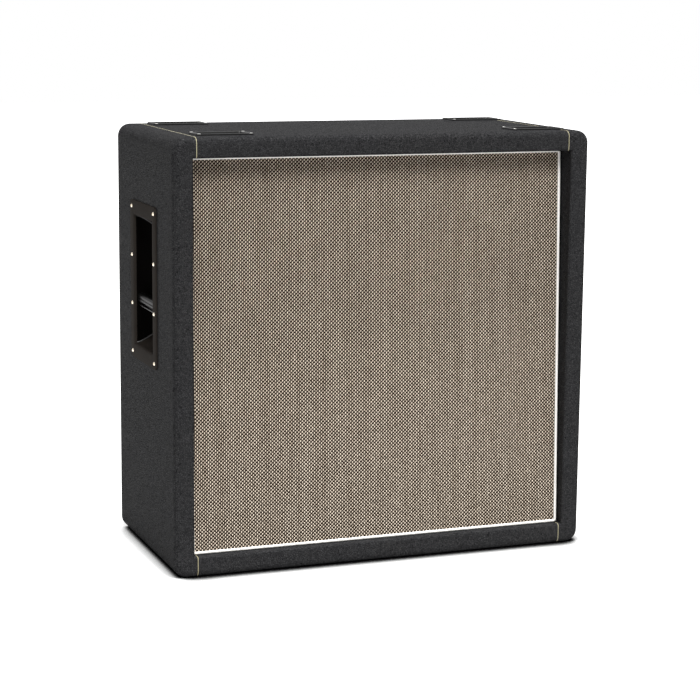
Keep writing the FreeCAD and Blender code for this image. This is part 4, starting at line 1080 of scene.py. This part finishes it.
driver = {
    "across": 165.0, "up": 165.0, "rim": 22.0, "paper": 0.6, "cloth": 0.6, "turns": 96, "sharp": 60,
    "edgeInner": 124.3, "edgeRoll": 137.6, "edgeOuter": 143.28, "edgeDepth": 6.0, "edgeWave": 1.1,
    "edgeSteps": 10,
    "spiderInner": 22.85, "spiderFlat": 72.0, "spiderOuter": 77.68, "spiderDepth": 59.7, "spiderWave": 2.9,
    "spiderWaves": 1.5, "spiderSteps": 18, "sectors": 6,
}
driverPlaces = {
    1: ("upper_left", -1, 1), 2: ("upper_right", 1, 1), 3: ("lower_left", -1, -1), 4: ("lower_right", 1, -1),
}


def onDriver(number, radius, angle, depth):
    _, right, top = driverPlaces[number]
    across = right * driver["across"] + radius * math.cos(angle)
    up = clothHeight / 2 + top * driver["up"] + radius * math.sin(angle)
    return onCloth(across, -driver["rim"] - depth, up)


def lathe(name, number, section, start, end):
    # a closed section of (radius, depth) turned about the driver's axis
    steps = round(driver["turns"] * (end - start) / 360)
    angles = [math.radians(start + (end - start) * k / steps) for k in range(steps + 1)]
    loops = [[onDriver(number, radius, angle, depth) for radius, depth in section] for angle in angles]
    whole = end - start > 359  # the last loop falls on the first and is merged with it
    return tidyMesh(skinLoops(name, loops, () if whole else (0, -1)), None, driver["sharp"])


def bendPiece(item, slot, nodes=()):
    item.data.materials.append(finishes[slot])
    if nodes:
        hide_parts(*nodes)
    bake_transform(item)


def sheetSection(line, thickness):
    return line + [(radius, depth + thickness) for radius, depth in reversed(line)]


def addDriverEdges():
    inner, outer, steps, paper = driver["edgeInner"], driver["edgeRoll"], driver["edgeSteps"], driver["paper"]
    roll = []
    for share in (k / steps for k in range(steps + 1)):
        sag = driver["edgeDepth"] * (1 - share) - paper * share
        rise = driver["edgeWave"] * math.sin(2 * math.pi * share)
        roll.append((inner + (outer - inner) * share, sag - rise))
    edge = sheetSection(roll + [(driver["edgeOuter"], -paper)], paper)
    inner, flat, depth, steps = (driver["spider" + key] for key in ("Inner", "Flat", "Depth", "Steps"))
    wave = []
    for share in (k / steps for k in range(steps + 1)):
        rise = driver["spiderWave"] * math.sin(2 * math.pi * driver["spiderWaves"] * share)
        wave.append((inner + (flat - inner) * share, depth - rise))
    spider = sheetSection(wave + [(driver["spiderOuter"], depth)], driver["cloth"])
    width = 360 / driver["sectors"]
    for number in driverPlaces:
        bendPiece(lathe(f"coneEdge{number}", number, edge, 0, 360), "cone_paper",
                  [f"cone_edge_{number}"])
        for sector in range(driver["sectors"]):
            item = lathe(f"spider{number}Sector{sector + 1}", number, spider,
                         sector * width, (sector + 1) * width)
            bendPiece(item, "spider_cloth",
                      [f"spider_{number}"] if sector == 0 else [])


addDriverEdges()
print("cone edges and spiders turned")


# screws: one modelled head of each kind, repeated where the part has them

screw = {
    "handle": {"head": 3.3, "dome": 2.2, "shank": 1.9, "length": 15.0, "slot": 0.9, "arm": 1.9, "deep": 1.2},
    "back": {"head": 4.5, "dome": 2.4, "shank": 2.0, "length": 26.0, "slot": 1.1, "arm": 2.6, "deep": 1.4},
    "plate": {"head": 3.2, "dome": 0.8, "shank": 1.5, "length": 11.0, "slot": 0.8, "arm": 1.9, "deep": 0.9},
    "sides": 32, "rings": 6, "rim": 0.25, "rimShare": 0.97, "recessWide": 1.15, "recessDeep": 0.6, "seed": 5,
    "sharp": 40,
}
screwRows = {
    "handleAcross": 72.0, "handlePitch": 87.0, "backAcross": 355.0, "backLow": 30.0, "backRise": 695.0,
    "cupAcross": 46.0, "cupAlong": 23.0, "cupFace": 2.6, "socketFace": 0.9,
    "jackAcross": 39.0, "jackUp": 24.0, "jackHeight": 200.0, "jackFace": 2.0,
}


def screwHead(name, kind):
    sizes = screw[kind]
    head, dome, shank = sizes["head"], sizes["dome"], sizes["shank"]
    sides, rings, rim = screw["sides"], screw["rings"], screw["rim"]
    ball = (head ** 2 + dome ** 2) / (2 * dome)
    outline = [(shank, -sizes["length"]), (shank, -rim), (head * screw["rimShare"], -rim)]
    for k in range(rings):
        radius = head * (1 - k / rings)
        outline.append((radius, math.sqrt(ball ** 2 - radius ** 2) - ball + dome))
    points, faces = [], []
    angles = [2 * math.pi * k / sides for k in range(sides)]
    addSkin(points, faces, [[(r * math.cos(a), r * math.sin(a), z) for a in angles] for r, z in outline])
    tip = len(points)
    points.append((0, 0, dome))
    faces += [(tip - sides + k, tip - sides + (k + 1) % sides, tip) for k in range(sides)]
    faces.append(tuple(reversed(range(sides))))
    item = tidyMesh(placeMesh(name, points, faces), None, screw["sharp"])
    cross = crossCutter(sizes)
    cut = item.modifiers.new("recess", "BOOLEAN")
    cut.operation = "DIFFERENCE"
    cut.object = cross
    plainMesh(item)
    bpy.data.objects.remove(cross)
    return tidyMesh(item, None, screw["sharp"])


def crossCutter(sizes):
    slot, arm, top, low = sizes["slot"] / 2, sizes["arm"], sizes["dome"] + 1, sizes["dome"] - sizes["deep"]
    outline = [(slot, slot), (slot, arm), (-slot, arm), (-slot, slot), (-arm, slot), (-arm, -slot),
               (-slot, -slot), (-slot, -arm), (slot, -arm), (slot, -slot), (arm, -slot), (arm, slot)]
    levels = ((screw["recessWide"], top), (screw["recessDeep"], low))
    loops = [[(x * share, y * share, z) for x, y in outline] for share, z in levels]
    return tidyMesh(skinLoops("crossCutter", loops, (0, -1)))


def screwTree():
    tree, given, out = geometryTree("repeatScrews", [("Screw", "Object", None), ("Seed", "Int", 5)])
    master = addNode(tree, "GeometryNodeObjectInfo", {"Object": given["Screw"]})
    aim = addNode(tree, "GeometryNodeInputNamedAttribute", {"Name": "aim"}, data_type="FLOAT_VECTOR")
    face = addNode(tree, "FunctionNodeAlignRotationToVector", {"Vector": aim.outputs["Attribute"]}, axis="Z")
    chance = addNode(tree, "FunctionNodeRandomValue", {2: 0.0, 3: math.pi / 2, "Seed": given["Seed"]},
                     data_type="FLOAT")
    spin = addNode(tree, "FunctionNodeAxisAngleToRotation", {"Axis": (0, 0, 1), "Angle": chance.outputs[1]})
    turned = addNode(tree, "FunctionNodeRotateRotation", {
        "Rotation": face.outputs["Rotation"], "Rotate By": spin.outputs["Rotation"]}, rotation_space="LOCAL")
    place = addNode(tree, "GeometryNodeInstanceOnPoints", {
        "Instance": master.outputs["Geometry"], "Rotation": turned.outputs["Rotation"]})
    solid = tree.nodes.new("GeometryNodeRealizeInstances")
    return paintOut(tree, given, out, given["Geometry"], place, solid)


def screwPlaces():
    # each screw has a point and the way that its head faces
    rows, cups, seat, back = screwRows, windows["castor"], windows["socket"], backPanel["face"]
    places = {"handle": [], "back": [], "plate": []}
    pairs = [(column, row) for column in (-1, 1) for row in (-1, 1)]
    for side, column in pairs:
        for row in range(4):
            along, up = column * rows["handleAcross"], (row - 1.5) * rows["handlePitch"]
            places["handle"].append((onSide(side, along, up, handle["thick"]), (side, 0, 0)))
    for column in range(5):
        for row in range(5):
            if column in (0, 4) or row in (0, 4):
                across = rows["backAcross"] * (column / 2 - 1)
                up = rows["backLow"] + rows["backRise"] * row / 4
                places["back"].append(((across, back, up), (0, 1, 0)))
    places["back"].append(((0, back, case["height"] / 2), (0, 1, 0)))
    for column, row in pairs:
        for x in (cups["left"], cups["right"]):
            for y in (cups["front"], cups["back"]):
                across, along = x + column * rows["cupAcross"], y + row * rows["cupAlong"]
                places["plate"].append(((across, along, case["height"] + rows["cupFace"]), (0, 0, 1)))
        for turn in (-1, 1):
            point = (column * seat["across"] + turn * seat["screws"], row * seat["along"], rows["socketFace"])
            places["plate"].append((point, (0, 0, -1)))
    for column, row in pairs:
        up = rows["jackHeight"] + row * rows["jackUp"]
        places["plate"].append(((column * rows["jackAcross"], back + rows["jackFace"], up), (0, 1, 0)))
    return places


def addScrews():
    nodes = screwTree()
    kinds = {"handle": ("handleScrews", "brass_screw", "handle_screws"),
             "back": ("backPanelScrews", "nickel_screw", "back_panel_screws"),
             "plate": ("plateScrews", "nickel_screw", "plate_screws")}
    for kind, places in screwPlaces().items():
        name, slot, node = kinds[kind]
        master = screwHead(kind + "ScrewHead", kind)
        item = placeMesh(name, [point for point, _ in places], [])
        aims = item.data.attributes.new("aim", "FLOAT_VECTOR", "POINT")
        aims.data.foreach_set("vector", [float(v) for _, aim in places for v in aim])
        runTree(item, nodes, Screw=master, Seed=screw["seed"], Finish=finishes[slot])
        bpy.data.objects.remove(master)
        dress(tidyMesh(item, None, screw["sharp"]), slot, nodes=[node])


addScrews()
print("screws driven")
